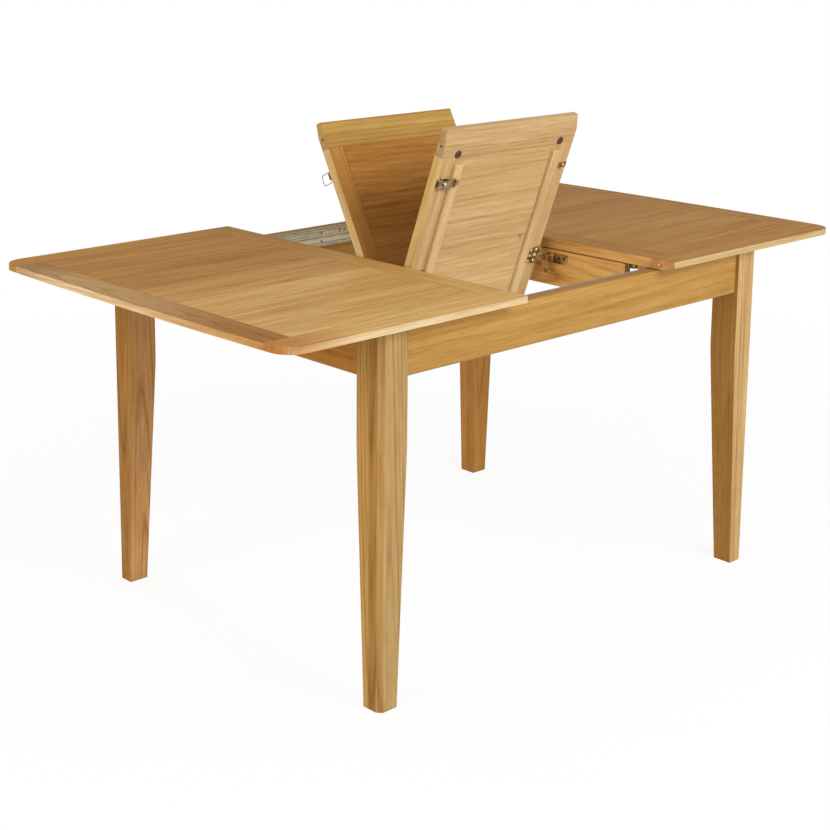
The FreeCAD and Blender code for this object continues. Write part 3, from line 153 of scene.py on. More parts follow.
class Graph:
    """A material being built."""

    def __init__(self, name):
        self.material = bpy.data.materials.new(name)
        self.material.use_nodes = True
        self.tree = self.material.node_tree
        self.tree.nodes.clear()
        self.shader = self.tree.nodes.new("ShaderNodeBsdfPrincipled")
        self.output = self.tree.nodes.new("ShaderNodeOutputMaterial")
        self.tree.links.new(self.shader.outputs["BSDF"], self.output.inputs["Surface"])

    def feed(self, socket, value):
        if isinstance(value, Wire):
            self.tree.links.new(value.socket, socket)
        elif hasattr(socket.default_value, "__len__") and not isinstance(value, (int, float)):
            width = len(socket.default_value)
            socket.default_value = tuple(value)[:width] + (1.0,) * (width - len(tuple(value)))
        else:
            socket.default_value = value

    def node(self, kind, settings=None, inputs=None, out=0):
        made = self.tree.nodes.new(kind)
        for name, value in (settings or {}).items():
            if name == "stops":
                stops = made.color_ramp.elements
                while len(stops) < len(value):
                    stops.new(0.5)
                for stop, (place, colour) in zip(stops, value):
                    stop.position = place
                    stop.color = (*colour, 1)
            else:
                setattr(made, name, value)
        for name, value in (inputs or {}).items():
            self.feed(made.inputs[name], value)
        return Wire(self, made.outputs[out])

    def vector(self, x, y, z):
        return self.node("ShaderNodeCombineXYZ", inputs={0: x, 1: y, 2: z})

    def place(self, lift=None):
        """Object coordinates, laid back flat for a leaf piece."""
        point = self.node("ShaderNodeTexCoord", out="Object")
        if lift is None:
            return point
        back = LIFT[lift].inverted()
        inputs = {"Location": back.to_translation(), "Rotation": back.to_euler()}
        return self.node("ShaderNodeMapping", {"vector_type": "POINT"}, {"Vector": point, **inputs})

    def parts(self, point):
        split = self.node("ShaderNodeSeparateXYZ", inputs={0: point}).socket.node
        return [Wire(self, split.outputs[index]) for index in range(3)]

    def facing(self, axis, way=1):
        """1 on faces that look along an axis, or against it where way is -1."""
        normal = self.parts(self.node("ShaderNodeNewGeometry", out="Normal"))["xyz".index(axis)]
        return (normal * way).ramp(*SQUARELY)

    def noise(self, x, y, z, detail=2.0, roughness=0.5):
        inputs = {"Vector": self.vector(x, y, z), "Scale": 1.0, "Detail": detail, "Roughness": roughness}
        return self.node("ShaderNodeTexNoise", {"noise_dimensions": "3D"}, inputs)

    def chance(self, number, out):
        """A value or a colour that is picked at random for each whole number."""
        return self.node("ShaderNodeTexWhiteNoise", {"noise_dimensions": "1D"}, {"W": number}, out)

    def mix(self, factor, first, second, blend="MIX"):
        settings = {"data_type": "RGBA", "blend_type": blend}
        return self.node("ShaderNodeMix", settings, {0: factor, 6: first, 7: second}, out=2)

    def toned(self, colour, tone, mask=1.0):
        """colour, multiplied by tone where mask is 1."""
        return self.mix(mask, colour, tone, "MULTIPLY")

    def bump(self, height, strength, distance):
        inputs = {"Strength": strength, "Distance": distance, "Height": height}
        return self.node("ShaderNodeBump", inputs=inputs)

    def finish(self, inputs):
        for name, value in inputs.items():
            self.feed(self.shader.inputs[name], value)
        return self.material


# ---- oak ----------------------------------------------------------------------------------------
HEARTWOOD = (0.215, 0.090, 0.025)
AMBER = (0.360, 0.185, 0.058)
HONEY = (0.500, 0.295, 0.105)
SAPWOOD = (0.640, 0.425, 0.190)
OAK_STOPS = [(0.0, HEARTWOOD), (0.34, AMBER), (0.66, HONEY), (1.0, SAPWOOD)]
MIDDLE_TONE = 0.66
# The lacquer's mirror is kept faint, so that no white veil lies on the tops at a low angle.
OAK_GLEAM = 0.006

# How often each kind of figure changes in a metre: along the grain, then across and through it.
WANDER = (0.9, 3.0)
RIPPLE = (3.0, 14.0)
EDDY = (4.0, 7.0)
CLOUD = (1.4, 8.0)
BAND = (0.8, 30.0)
STREAK = (4.0, 80.0)
FIBRE = (8.0, 330.0)
PORE = (26.0, 800.0)
# How much of each goes into the tone.
CLOUD_SHARE, BAND_SHARE, STREAK_SHARE, FIBRE_SHARE = 0.24, 0.36, 0.95, 0.50
# How far the tree bends, aside and below, and how uneven its rings are.
BEND_ASIDE, BEND_BELOW, UNEVEN = 0.02, 0.008, 0.40
# How sharp the dark line of a year is, its strength in the faintest years, and what others add.
YEAR_SHARPNESS = 2.4
FAINT_YEAR, OTHER_YEARS = 0.25, 0.75
# Where in its noise a pore starts and ends, and how dark it is between the rings and on them.
PORE_EDGE = (0.58, 0.72)
PORE_DARK, PORE_ON_RING = 0.20, 0.45
# How far two seeds lie apart along the tree, and in the draws of their planks.
SEED_ALONG = 3.17
SEED_DRAW = 7.3
# The clouds are read from another place than the rest of the figure.
CLOUD_START = 3.0

# How the glued planks of a panel differ: sideways start, heart aside and below, place along, tone.
PLANK_START = 0.37
HEART_ASIDE = 2.6
HEART_BELOW = 0.09
PLANK_ALONG = 9.0
PLANK_TONE = 0.20

# From fully dark to clear, away from a glued joint; how far a stave's edge and a face's tone blend.
GLUE_LINE = (0.3 * MM, 2.2 * MM)
GLUE_DARK = 0.60
STAVE_SOFT = 3 * MM
FACE_SOFT = 1.2 * MM
# A fleck: how it is drawn out along X, the share of it that is fully dark, and how dark that is.
FLECK_DRAWN = 0.4
FLECK_CORE = 0.3
FLECK_DARK = 0.55
# How matt the lacquer is, and how deep the figure shows in its bump.
OAK_MATT = 0.38
OAK_BUMP = (0.10, 0.6 * MM)


class Board:
    """Where a point lies in a board, and in the tree that the board was cut from."""

    def __init__(self, graph, axes, seed, lift):
        self.graph = graph
        self.seed = seed
        self.at = dict(zip("xyz", graph.parts(graph.place(lift))))
        self.along, self.across, self.deep = (self.at[axis] for axis in axes)

    def cut_whole(self, heart):
        """One board, heart being the middle of its tree."""
        self.lengthwise = self.along + self.seed * SEED_ALONG
        self.aside = self.across - heart[0]
        self.below = self.deep - heart[1]
        self.tone = 0.0

    def cut_planks(self, heart, plank):
        """Planks glued side by side, each from another place in the tree."""
        start = self.seed * PLANK_START
        number = (self.across / plank + start).floor()
        luck = self.graph.parts(self.graph.chance(number + self.seed * SEED_DRAW, "Color"))
        middle = (number + (0.5 - start)) * plank
        self.lengthwise = self.along + luck[1] * PLANK_ALONG
        self.aside = self.across - middle + (luck[0] - 0.5) * (HEART_ASIDE * plank)
        self.below = self.deep - heart[1] + (luck[1] - 0.5) * HEART_BELOW
        self.tone = (luck[2] - 0.5) * PLANK_TONE

    def drawn(self, rates, finer=1.0):
        """The point, drawn out along the grain."""
        slow, fast = rates
        return [self.lengthwise * slow, self.across * (fast * finer), self.deep * (fast * finer)]

    def grain(self, rates, detail, roughness=0.5, finer=1.0):
        return self.graph.noise(*self.drawn(rates, finer), detail, roughness) - 0.5

    def seeded(self, rates):
        x, y, z = self.drawn(rates)
        return self.graph.noise(x, y, z + self.seed, 1.0) - 0.5

    def late_wood(self, rings, slope, swirl):
        """1 in the dark middle of a yearly ring and 0 between rings; some years are fainter."""
        wander = self.seeded(WANDER)
        aside = self.aside + wander * BEND_ASIDE
        below = self.below + self.along * slope + wander * BEND_BELOW
        if swirl:
            slow, fast = EDDY
            place = (self.along * slow + self.seed, self.across * fast, self.deep * fast)
            below = below + (self.graph.noise(*place, 1.0) - 0.5) * swirl
        years = (aside * aside + below * below).root() * rings + self.seeded(RIPPLE) * UNEVEN
        luck = self.graph.chance(years.floor() + self.seed, "Value")
        peak = 1.0 - (years.fract() * 2.0 - 1.0).size()
        return peak ** YEAR_SHARPNESS * (FAINT_YEAR + luck * luck * OTHER_YEARS)


def add_tones(g, at, colour, drift, faces, sides):
    """Slow drifts, polished faces, painted light and shade on sides, and staves with a tone of their own."""
    for axis, start, end, far_tone in drift:
        colour = g.toned(colour, far_tone, at[axis].ramp(start, end))
    for axis, start, way, face_tone in faces:
        colour = g.toned(colour, face_tone, ((at[axis] - start) * way).ramp(0.0, FACE_SOFT))
    # Painted light and shade: a side that looks along an axis is toned for the light that falls on it.
    for axis, way, face_tone, *staves in sides:
        face = g.toned(colour, face_tone)
        for cross, low, high, stave_tone in staves:
            face = g.toned(face, stave_tone, at[cross].between(low, high, STAVE_SOFT))
        colour = g.mix(g.facing(axis, way), colour, face)
    return colour


def add_marks(g, at, colour, streak, marks, edges):
    """Small dark flecks with ragged outlines, and the dark lines of glued joints."""
    for mark_x, mark_y, reach in marks:
        right, ahead = at["x"] - mark_x, at["y"] - mark_y
        blot = (right * right * FLECK_DRAWN + ahead * ahead).root() + streak * reach
        colour = g.mix((1.0 - blot.ramp(reach * FLECK_CORE, reach)) * FLECK_DARK, colour, HEARTWOOD)
    for axis, low, high in edges:
        gap = (at[axis] - low).size().least((at[axis] - high).size())
        colour = g.mix((1.0 - gap.ramp(*GLUE_LINE)) * GLUE_DARK, colour, HEARTWOOD)
    return colour


def oak(name, axes, seed, tone=(1, 1, 1), plank=None, lift=None, heart=(0.0, 0.74), slope=0.0,
        rings=150.0, line=0.24, edges=(), shade=0.0, contrast=1.0, faces=(), sides=(), fine=1.0,
        swirl=0.0, drift=(), marks=()):
    """Lacquered oak, cut from a tree with yearly rings.

    axes      along the grain, across and through the board, such as "xyz"
    seed      makes each board its own
    tone      multiplies the whole board's colour; shade lifts or lowers it along the oak stops
    plank     width of the glued planks, for a panel
    lift      the leaf half that the board belongs to
    heart     the middle of the tree, across and through the board; slope tilts it along the grain,
              which draws the pointed arches of a board sawn off centre
    rings     years in a metre; line is how dark each one is; swirl bends them into wild figure
    contrast  strength of the figure; fine makes the streaks narrower
    edges     joints to darken, as an axis with its two ends
    faces     faces with a tone of their own, as an axis, its start, 1 or -1, and the tone
    sides     faces that look along an axis, 1 or -1, with painted light and shade as their tone;
          one may hold a glued stave, as the axis across it, its two ends and its tone
    drift     slow changes of tone along an axis, as the axis, its start, its end and the tone there
    marks     small dark flecks in X and Y, with their reach
    """
    g = Graph(name)
    board = Board(g, axes, seed, lift)
    if plank:
        board.cut_planks(heart, plank)
    else:
        board.cut_whole(heart)
    late_wood = board.late_wood(rings, slope, swirl)
    x, y, z = board.drawn(CLOUD)
    cloud = g.noise(x + CLOUD_START, y, z, 2.0) - 0.5
    band = board.grain(BAND, 2.0)
    streak = board.grain(STREAK, 6.0, 0.76, finer=fine)
    fibre = board.grain(FIBRE, 3.0, 0.70)
    pore = g.noise(*board.drawn(PORE), 1.0).ramp(*PORE_EDGE)
    figure = cloud * CLOUD_SHARE + band * BAND_SHARE + streak * STREAK_SHARE + fibre * FIBRE_SHARE
    value = MIDDLE_TONE + shade + board.tone + (figure - late_wood * line) * contrast
    colour = g.node("ShaderNodeValToRGB", {"stops": OAK_STOPS}, {0: value})
    colour = g.mix(pore * (PORE_DARK + late_wood * PORE_ON_RING), colour, HEARTWOOD)
    colour = g.toned(colour, tone)
    colour = add_tones(g, board.at, colour, drift, faces, sides)
    colour = add_marks(g, board.at, colour, streak, marks, edges)
    height = streak * 0.5 - pore * 0.8 - late_wood * 0.4
    return g.finish({
        "Base Color": colour,
        "Roughness": OAK_MATT + fibre * 0.20 + pore * 0.15,
        "Specular IOR Level": OAK_GLEAM,
        "Normal": g.bump(height, *OAK_BUMP),
    })


# ---- metal and moulded finishes -----------------------------------------------------------------
PLATED_GLEAM = 0.35
CLOUDS = 90.0
SCRATCHES = 900.0
# From where to where in its noise a cloud turns the plating dull.
CLOUD_EDGE = (0.40, 0.70)
# Where the slides are drawn out, along X.
SLIDE_CLOUDS = 30.0
SLIDE_SCRATCHES = 60.0
ZINC, DULL_ZINC = (0.64, 0.63, 0.49), (0.50, 0.49, 0.37)
GAP_SHADE = (0.10, 0.095, 0.06)
UPWARD_DARK = (0.20, 0.18, 0.13)
# Painted shade in the gaps where a slide's bars meet, as dark lines: height, half width and strength.
SLIDE_LINES = (
    (743.8 * MM, 1.2 * MM, 0.9),
    (737.5 * MM, 1.0 * MM, 0.7),
    (724.0 * MM, 1.6 * MM, 0.8),
    (710.5 * MM, 1.0 * MM, 0.7),
    (704.2 * MM, 1.2 * MM, 0.9),
)


def metal(name, colour, dull, roughness, cloudy=0.25):
    """Plated sheet: a base colour that clouds towards a duller one, with fine scratches."""
    g = Graph(name)
    x, y, z = g.parts(g.place())
    cloud = g.noise(x * CLOUDS, y * CLOUDS, z * CLOUDS, 3.0)
    scratch = g.noise(x * SCRATCHES, y * SCRATCHES, z * SCRATCHES, 2.0)
    return g.finish({
        "Base Color": g.mix(cloud.ramp(*CLOUD_EDGE), colour, dull),
        "Metallic": 1.0,
        "Roughness": roughness + (cloud - 0.5) * cloudy + (scratch - 0.5) * 0.12,
        "Specular IOR Level": PLATED_GLEAM,
        "Normal": g.bump(scratch, 0.10, 0.1 * MM),
    })


def slide_metal(name):
    """Rolled zinc-plated slide: brushed along its length, with painted shade in the gaps of its bars.

    What looks up is darker and dull.
    """
    g = Graph(name)
    x, y, z = g.parts(g.place())
    cloud = g.noise(x * SLIDE_CLOUDS, y * CLOUDS, z * CLOUDS, 3.0)
    scratch = g.noise(x * SLIDE_SCRATCHES, y * SCRATCHES, z * SCRATCHES, 2.0)
    groove = 0.0
    for height, width, depth in SLIDE_LINES:
        groove = (1.0 - (z - height).size().ramp(width * 0.4, width)).most(0.0) * depth + groove
    colour = g.mix(cloud.ramp(*CLOUD_EDGE), ZINC, DULL_ZINC)
    # Painted shade: the gaps between the bars are darkened.
    colour = g.mix(groove.least(1.0), colour, GAP_SHADE)
    upward = g.facing("z")
    brushed = (cloud - 0.5) * 0.10 + (scratch - 0.5) * 0.22
    return g.finish({
        "Base Color": g.mix(upward, colour, UPWARD_DARK),
        "Metallic": 1.0 - upward * 0.8,
        "Roughness": 0.40 + brushed + groove * 0.10 + upward * 0.2,
        "Specular IOR Level": PLATED_GLEAM,
        "Normal": g.bump(scratch - groove, 0.10, 0.2 * MM),
    })


# The bumpers: colours of rim and disc, the disc's blurred edge, the ring round it, and the grain.
RUBBER, RUBBER_DISC = (0.085, 0.037, 0.020), (0.022, 0.011, 0.008)
DISC_EDGE = (4.2 * MM, 5.0 * MM)
RING_RADIUS = 5.2 * MM
RING_WIDTH = 0.8 * MM
RUBBER_GRAIN = 1800.0


def rubber_dome(name, lift, centre):
    """Dark brown moulded bumper: a matt rim round a darker sunk disc."""
    g = Graph(name)
    x, y, z = g.parts(g.place(lift))
    aside, back = x.size() - centre[0], y.size() - centre[1]
    radius = (aside * aside + back * back).root()
    disc = 1.0 - radius.ramp(*DISC_EDGE)
    ring = (radius - RING_RADIUS).size().ramp(0.0, RING_WIDTH)
    grain = g.noise(x * RUBBER_GRAIN, y * RUBBER_GRAIN, z * RUBBER_GRAIN, 2.0)
    return g.finish({
        "Base Color": g.mix(disc * 0.6, RUBBER, RUBBER_DISC),
        "Roughness": 0.42 + grain * 0.20,
        "Specular IOR Level": PLATED_GLEAM,
        "Normal": g.bump(ring * 0.8 + grain * 0.15, 0.5, 0.4 * MM),
    })


# ---- what the wooden pieces wear ----------------------------------------------------------------

def dress(node, material):
    mesh = frame["nodes"][node].data
    mesh.materials.clear()
    mesh.materials.append(material)


def span(node, axis, lift=None):
    """Lowest and highest coordinate of a node along an axis, in its flat place."""
    back = LIFT[lift].inverted()
    index = "xyz".index(axis)
    places = [(back @ vertex.co)[index] for vertex in frame["nodes"][node].data.vertices]
    return min(places), max(places)


def joint_lines(node, lift=None):
    """The four edges of a panel, where it is glued into its borders."""
    return [(axis, *span(node, axis, lift)) for axis in "xy"]


POLISH_DEEP = 1.4 * MM


def upper_face(tone):
    """The polished upper face of a top or of a leaf half that lies flat."""
    return [("z", TABLE_TOP - POLISH_DEEP, 1, tone)]


# The two tops. Each border has its grain, its own seed, shade, and the heart of its tree.
TOP_SEED = {"left": 2, "right": 5}
TOP_TONE = {"left": (1.05, 1.04, 0.96), "right": (0.98, 0.95, 0.86)}
POLISHED = {"left": (0.98, 1.01, 1.06), "right": (0.73, 0.62, 0.45)}
POLISHED_END = {"left": (0.77, 0.79, 0.95), "right": (0.70, 0.59, 0.44)}
# Painted shade: the left top darkens towards its far side.
TOP_SHADE_DRIFT = {"left": [("y", -0.42, 0.30, (0.80, 0.66, 0.46))], "right": []}
END_DRIFT = {
    "left": [("y", 0.12, -0.34, (0.71, 0.53, 0.34)), ("y", 0.24, 0.42, (0.76, 0.64, 0.62))],
    "right": [],
}
# The near side border takes the top's painted shade, and darkens towards the left end.
NEAR_DRIFT = {"left": TOP_SHADE_DRIFT["left"] + [("x", -0.62, -0.82, (0.74, 0.55, 0.40))], "right": []}
DRIFT_OF = {"end_border": END_DRIFT, "side_border_near": NEAR_DRIFT}
# Painted light and shade on the edges that look towards -Y and -X, as their tones; three borders
# differ from the rest of their top.
TOP_EDGE_LIGHT = {
    "left": [("y", -1, (0.91, 1.10, 1.75)), ("x", -1, (1.00, 1.06, 1.10))],
    "right": [("y", -1, (0.94, 1.14, 1.65)), ("x", -1, (1.22, 1.20, 1.22))],
}
EDGE_LIGHT_OF = {
    "left_top_end_border": [("y", -1, (0.91, 1.10, 1.75)), ("x", -1, (1.30, 1.60, 2.70))],
    "left_top_side_border_near": [("y", -1, (1.05, 1.32, 2.20)), ("x", -1, (1.02, 0.94, 1.10))],
    "right_top_side_border_near": [("y", -1, (0.94, 1.14, 1.65)), ("x", -1, (0.98, 0.88, 1.05))],
}
BORDER_HEART_HEIGHT = 0.735
# Each border: grain axes, seed after the top's, shade, heart from its low side, tilt of the heart.
BORDERS = {
    "end_border": ("yxz", 1.7, 0.04, 0.03, 0.075),
    "split_border": ("yxz", 3.4, 0.0, -0.12, 0.010),
    "side_border_near": ("xyz", 5.1, 0.04, -0.16, 0.010),
    "side_border_far": ("xyz", 6.8, -0.04, -0.14, 0.010),
}


def dress_border(side, border):
    axes, shift, shade, away, slope = BORDERS[border]
    node = side + "_top_" + border
    polish = POLISHED_END if border == "end_border" else POLISHED
    dress(node, oak(node.replace("_", " ") + " oak", axes, TOP_SEED[side] + shift, TOP_TONE[side],
                    heart=(span(node, axes[1])[0] + away, BORDER_HEART_HEIGHT), slope=slope,
                    line=0.26, shade=shade, faces=upper_face(polish[side]),
                    sides=EDGE_LIGHT_OF.get(node, TOP_EDGE_LIGHT[side]), fine=1.2, contrast=1.15,
                    drift=DRIFT_OF.get(border, TOP_SHADE_DRIFT)[side]))


def dress_top(side):
    panel = side + "_top_panel"
    dress(panel, oak(side + " top panel oak", "xyz", TOP_SEED[side], TOP_TONE[side], plank=0.104,
                     slope=0.03, line=0.18, rings=120.0, contrast=1.25, edges=joint_lines(panel),
                     faces=upper_face(POLISHED[side]), fine=1.3, drift=TOP_SHADE_DRIFT[side]))
    for border in BORDERS:
        dress_border(side, border)
    dress(side + "_top_bearers", oak(side + " bearer oak", "xzy", TOP_SEED[side] + 9,
                                     (0.97, 0.94, 0.88), heart=(0.6, 0.3)))


for side in ("left", "right"):
    dress_top(side)

# The legs. Three have painted shade on their left face (-X): a deeper tone for the light that falls
# there. The left ones are glued up, with a stave of another tone in their left face.
LEGS = {
    "near_left": dict(
        axes="zyx", heart=(-0.412, -0.548), slope=0.030, tone=(0.77, 0.84, 0.94), line=0.34,
        sides=[("x", -1, (1.14, 1.00, 0.76), ("y", -0.455, -0.406, (0.80, 0.72, 0.66)))]),
    "near_right": dict(
        axes="zxy", heart=(0.585, -0.350), slope=0.018, tone=(0.92, 0.98, 1.15), line=0.28,
        sides=[("x", -1, (0.78, 0.62, 0.38))]),
    "far_left": dict(
        axes="zyx", heart=(0.405, -0.540), slope=0.034, tone=(0.97, 0.89, 0.98), line=0.44,
        sides=[("x", -1, (0.66, 0.59, 0.42), ("y", 0.372, 0.402, (1.15, 1.16, 1.10)))]),
    "far_right": dict(
        axes="zxy", heart=(0.545, 0.350), slope=0.020, tone=(0.86, 0.70, 0.52), line=0.28),
}
for index, (corner, look) in enumerate(LEGS.items()):
    dress("leg_" + corner, oak("leg oak " + corner.replace("_", " "), seed=11 + index, rings=140.0, **look))

# The rails. A rail's heart is given by its height and by its place through the board.
RAIL_HEART_HEIGHT = 0.66
LONG_RAIL_TOP = 743 * MM
for index, (side, deep) in enumerate((("near", -0.34), ("far", 0.50))):
    dress("long_rail_" + side, oak("long rail oak " + side, "xzy", 21 + index, (0.77, 0.72, 0.56),
                                   heart=(RAIL_HEART_HEIGHT, deep), slope=0.012, rings=130.0, line=0.20,
                                   faces=[("z", LONG_RAIL_TOP, 1, (0.86, 0.78, 0.74))]))
for index, (side, end_deep, cross_deep) in enumerate((("left", -0.50, -0.20), ("right", 0.50, 0.29))):
    dress("end_rail_" + side, oak("end rail oak " + side, "yzx", 31 + index, (0.90, 0.68, 0.46),
                                  heart=(RAIL_HEART_HEIGHT, end_deep)))
    dress("cross_rail_" + side, oak("cross rail oak " + side, "yzx", 35 + index, (1.26, 1.24, 1.14),
                                    heart=(0.685, cross_deep), slope=0.06, line=0.46, rings=110.0))
dress("corner_blocks", oak("corner block oak", "xyz", 41, (0.9, 0.88, 0.8), heart=(0.2, 0.2)))

# The leaf. Seeds and tones of its two halves; the upper faces are the ones that fold together.
LEAF_SEED = {"near": 51, "far": 61}
LEAF_TONE = {"near": (1.00, 1.11, 1.35), "far": (1.05, 1.08, 0.98)}
# Painted light: the end borders' edges that look towards -X are toned lighter.
LEAF_EDGE_LIGHT = {"near": (1.22, 1.28, 1.12), "far": (1.30, 1.55, 2.20)}
LEAF_TOP = {"near": (0.82, 0.58, 0.32), "far": (0.78, 0.59, 0.44)}
FREE_BORDER_TONE = {"near": (0.91, 0.99, 1.27), "far": (1.01, 1.14, 1.15)}
FREE_BORDER_TOP = {"near": (0.93, 0.85, 0.51), "far": (0.84, 0.74, 0.56)}
FREE_BORDER_HEART = {"near": (-0.5, 0.71), "far": (0.5, 0.71)}
PANEL_FIGURE = {
    "near": dict(swirl=0.02, contrast=0.85, marks=[(0.121, -0.190, 0.006), (0.124, -0.182, 0.004)]),
    "far": dict(swirl=0.05, contrast=1.25),
}
BATTEN_SHADE = {"near": 0.20, "far": 0.0}
BUMPER_CENTRE = (157.5 * MM, 420 * MM)


def dress_leaf(half):
    seed, tone = LEAF_SEED[half], LEAF_TONE[half]
    panel = half + "_leaf_panel"
    dress(panel, oak(half + " leaf panel oak", "xyz", seed, tone, plank=0.128, lift=half, rings=80.0,
                     line=0.20, slope=0.05, shade=0.04, edges=joint_lines(panel, half),
                     faces=upper_face(LEAF_TOP[half]), fine=1.2, **PANEL_FIGURE[half]))
    dress(half + "_leaf_free_border",
          oak(half + " leaf free border oak", "xyz", seed + 1, FREE_BORDER_TONE[half], lift=half,
              heart=FREE_BORDER_HEART[half], line=0.22, rings=130.0,
              faces=upper_face(FREE_BORDER_TOP[half]), fine=1.2))
    dress(half + "_leaf_end_borders",
          oak(half + " leaf end border oak", "yxz", seed + 2, tone, lift=half, heart=(0.0, 0.76),
              line=0.20, shade=0.06, faces=upper_face(LEAF_TOP[half]), sides=[("x", -1, LEAF_EDGE_LIGHT[half])]))
    dress(half + "_leaf_battens",
          oak(half + " leaf batten oak", "yxz", seed + 3, tone, lift=half, heart=(0.0, 0.60),
              line=0.12, shade=BATTEN_SHADE[half], contrast=0.8))
    dress(half + "_leaf_bumpers", rubber_dome(half + " bumper", half, BUMPER_CENTRE))


for half in ("near", "far"):
    dress_leaf(half)

# ---- what the metal pieces wear -----------------------------------------------------------------
bronze = metal("bronze plate", (0.62, 0.45, 0.22), (0.20, 0.13, 0.055), 0.30, cloudy=0.35)
nickel = metal("bronzed nickel latch", (0.66, 0.50, 0.27), (0.26, 0.18, 0.085), 0.28)
slide_steel = slide_metal("greenish zinc slide")
zinc = metal("zinc bolt", (0.60, 0.60, 0.56), (0.44, 0.43, 0.38), 0.40)
wire_steel = metal("bail wire steel", (0.34, 0.33, 0.31), (0.22, 0.21, 0.20), 0.28)
wire_bronze = metal("bail wire bronze", (0.34, 0.26, 0.14), (0.20, 0.14, 0.07), 0.36)
brass = metal("pin brass", (0.92, 0.66, 0.30), (0.70, 0.45, 0.18), 0.22)
dark_steel = metal("dark screw steel", (0.10, 0.09, 0.08), (0.05, 0.045, 0.04), 0.38)
bright_screw = metal("bright screw", (0.90, 0.84, 0.68), (0.70, 0.62, 0.46), 0.22)

WORN_BY = (
    (slide_steel, ("slide_track_near", "slide_track_far", "left_slide_runners", "right_slide_runners")),
    (zinc, ("leg_bolts",)),
    (bronze, ("leaf_pivot_plates", "leaf_pivot_arms", "leaf_pivot_brackets",
              "near_fold_hinge_plates", "far_fold_hinge_plates")),
    (nickel, ("leaf_pivot_pins", "near_latch_bases", "far_latch_bases",
              "left_latch_hooks", "right_latch_bases",
              "latch_lever_near_left", "latch_lever_far_left",
              "latch_lever_near_right", "latch_lever_far_right")),
    (wire_steel, ("latch_bail_far_left",)),
    (wire_bronze, ("latch_bail_near_left", "latch_bail_near_right", "latch_bail_far_right")),
    (brass, ("left_locating_pins", "right_locating_pins")),
)
for finish, nodes in WORN_BY:
    for node in nodes:
        dress(node, finish)


# ---- screws, set by Geometry Nodes --------------------------------------------------------------

class NodeTree:
    """A Geometry Nodes tree being built, with named inputs."""

    def __init__(self, name, sizes):
        self.tree = bpy.data.node_groups.new(name, "GeometryNodeTree")
        face = self.tree.interface
        self.ids = {}
        face.new_socket("Geometry", in_out="INPUT", socket_type="NodeSocketGeometry")
        for label, (kind, value) in sizes.items():
            socket = face.new_socket(label, in_out="INPUT", socket_type=kind)
            if value is not None:
                socket.default_value = value
            self.ids[label] = socket.identifier
        face.new_socket("Geometry", in_out="OUTPUT", socket_type="NodeSocketGeometry")
        self.entry = self.tree.nodes.new("NodeGroupInput")
        self.exit = self.tree.nodes.new("NodeGroupOutput")

    def size(self, label):
        return self.entry.outputs[label]

    def add(self, kind, settings=None, inputs=None, out=0):
        node = self.tree.nodes.new(kind)
        for name, value in (settings or {}).items():
            setattr(node, name, value)
        for name, value in (inputs or {}).items():
            if isinstance(value, bpy.types.NodeSocket):
                self.tree.links.new(value, node.inputs[name])
            else:
                node.inputs[name].default_value = value
        return node.outputs[out]

    def times(self, socket, factor):
        return self.add("ShaderNodeMath", {"operation": "MULTIPLY"}, {0: socket, 1: factor})

    def end(self, socket):
        self.tree.links.new(socket, self.exit.inputs[0])


# Shape of a screw head, as shares of its radius or height.
HEAD_SIDES = 20
HEAD_TOP = 0.72
SLOT_LONG = 1.25
SLOT_WIDE = 0.24
SLOT_DEEP = 0.9


def screw_tree():
    """Round screw heads with a cross slot on the points of a mesh."""
    float_in, vector_in, material_in = "NodeSocketFloat", "NodeSocketVector", "NodeSocketMaterial"
    t = NodeTree("cross slot screws", {"Radius": (float_in, 4 * MM), "Height": (float_in, 2 * MM),
                                       "Turn": (vector_in, (0, 0, 0)), "Finish": (material_in, None)})
    radius, height = t.size("Radius"), t.size("Height")
    head = t.add("GeometryNodeMeshCone", inputs={
        "Vertices": HEAD_SIDES, "Side Segments": 2, "Radius Top": t.times(radius, HEAD_TOP),
        "Radius Bottom": radius, "Depth": height})
    for long_axis in (0, 1):
        sides = [t.times(radius, SLOT_LONG), t.times(radius, SLOT_WIDE), t.times(height, SLOT_DEEP)]
        if long_axis:
            sides[0], sides[1] = sides[1], sides[0]
        cube_size = t.add("ShaderNodeCombineXYZ", inputs=dict(enumerate(sides)))
        cube = t.add("GeometryNodeMeshCube", inputs={"Size": cube_size})
        lift = t.add("ShaderNodeCombineXYZ", inputs={2: height})
        slot = t.add("GeometryNodeTransform", inputs={"Geometry": cube, "Translation": lift})
        head = t.add("GeometryNodeMeshBoolean", {"operation": "DIFFERENCE"}, {"Mesh 1": head, "Mesh 2": slot})
    points = t.add("GeometryNodeMeshToPoints", inputs={"Mesh": t.size("Geometry")})
    turn = t.add("FunctionNodeEulerToRotation", inputs={0: t.size("Turn")})
    placed = t.add("GeometryNodeInstanceOnPoints",
                   inputs={"Points": points, "Instance": head, "Rotation": turn})
    real = t.add("GeometryNodeRealizeInstances", inputs={"Geometry": placed})
    t.end(t.add("GeometryNodeSetMaterial", inputs={"Geometry": real, "Material": t.size("Finish")}))
    return t


SCREWS = screw_tree()
SCREW_SPIN = 0.3


def settle(made):
    """Turn a piece's live modifiers into a plain mesh."""
    graph = bpy.context.evaluated_depsgraph_get()
    mesh = bpy.data.meshes.new_from_object(made.evaluated_get(graph))
    made.modifiers.clear()
    made.data = mesh


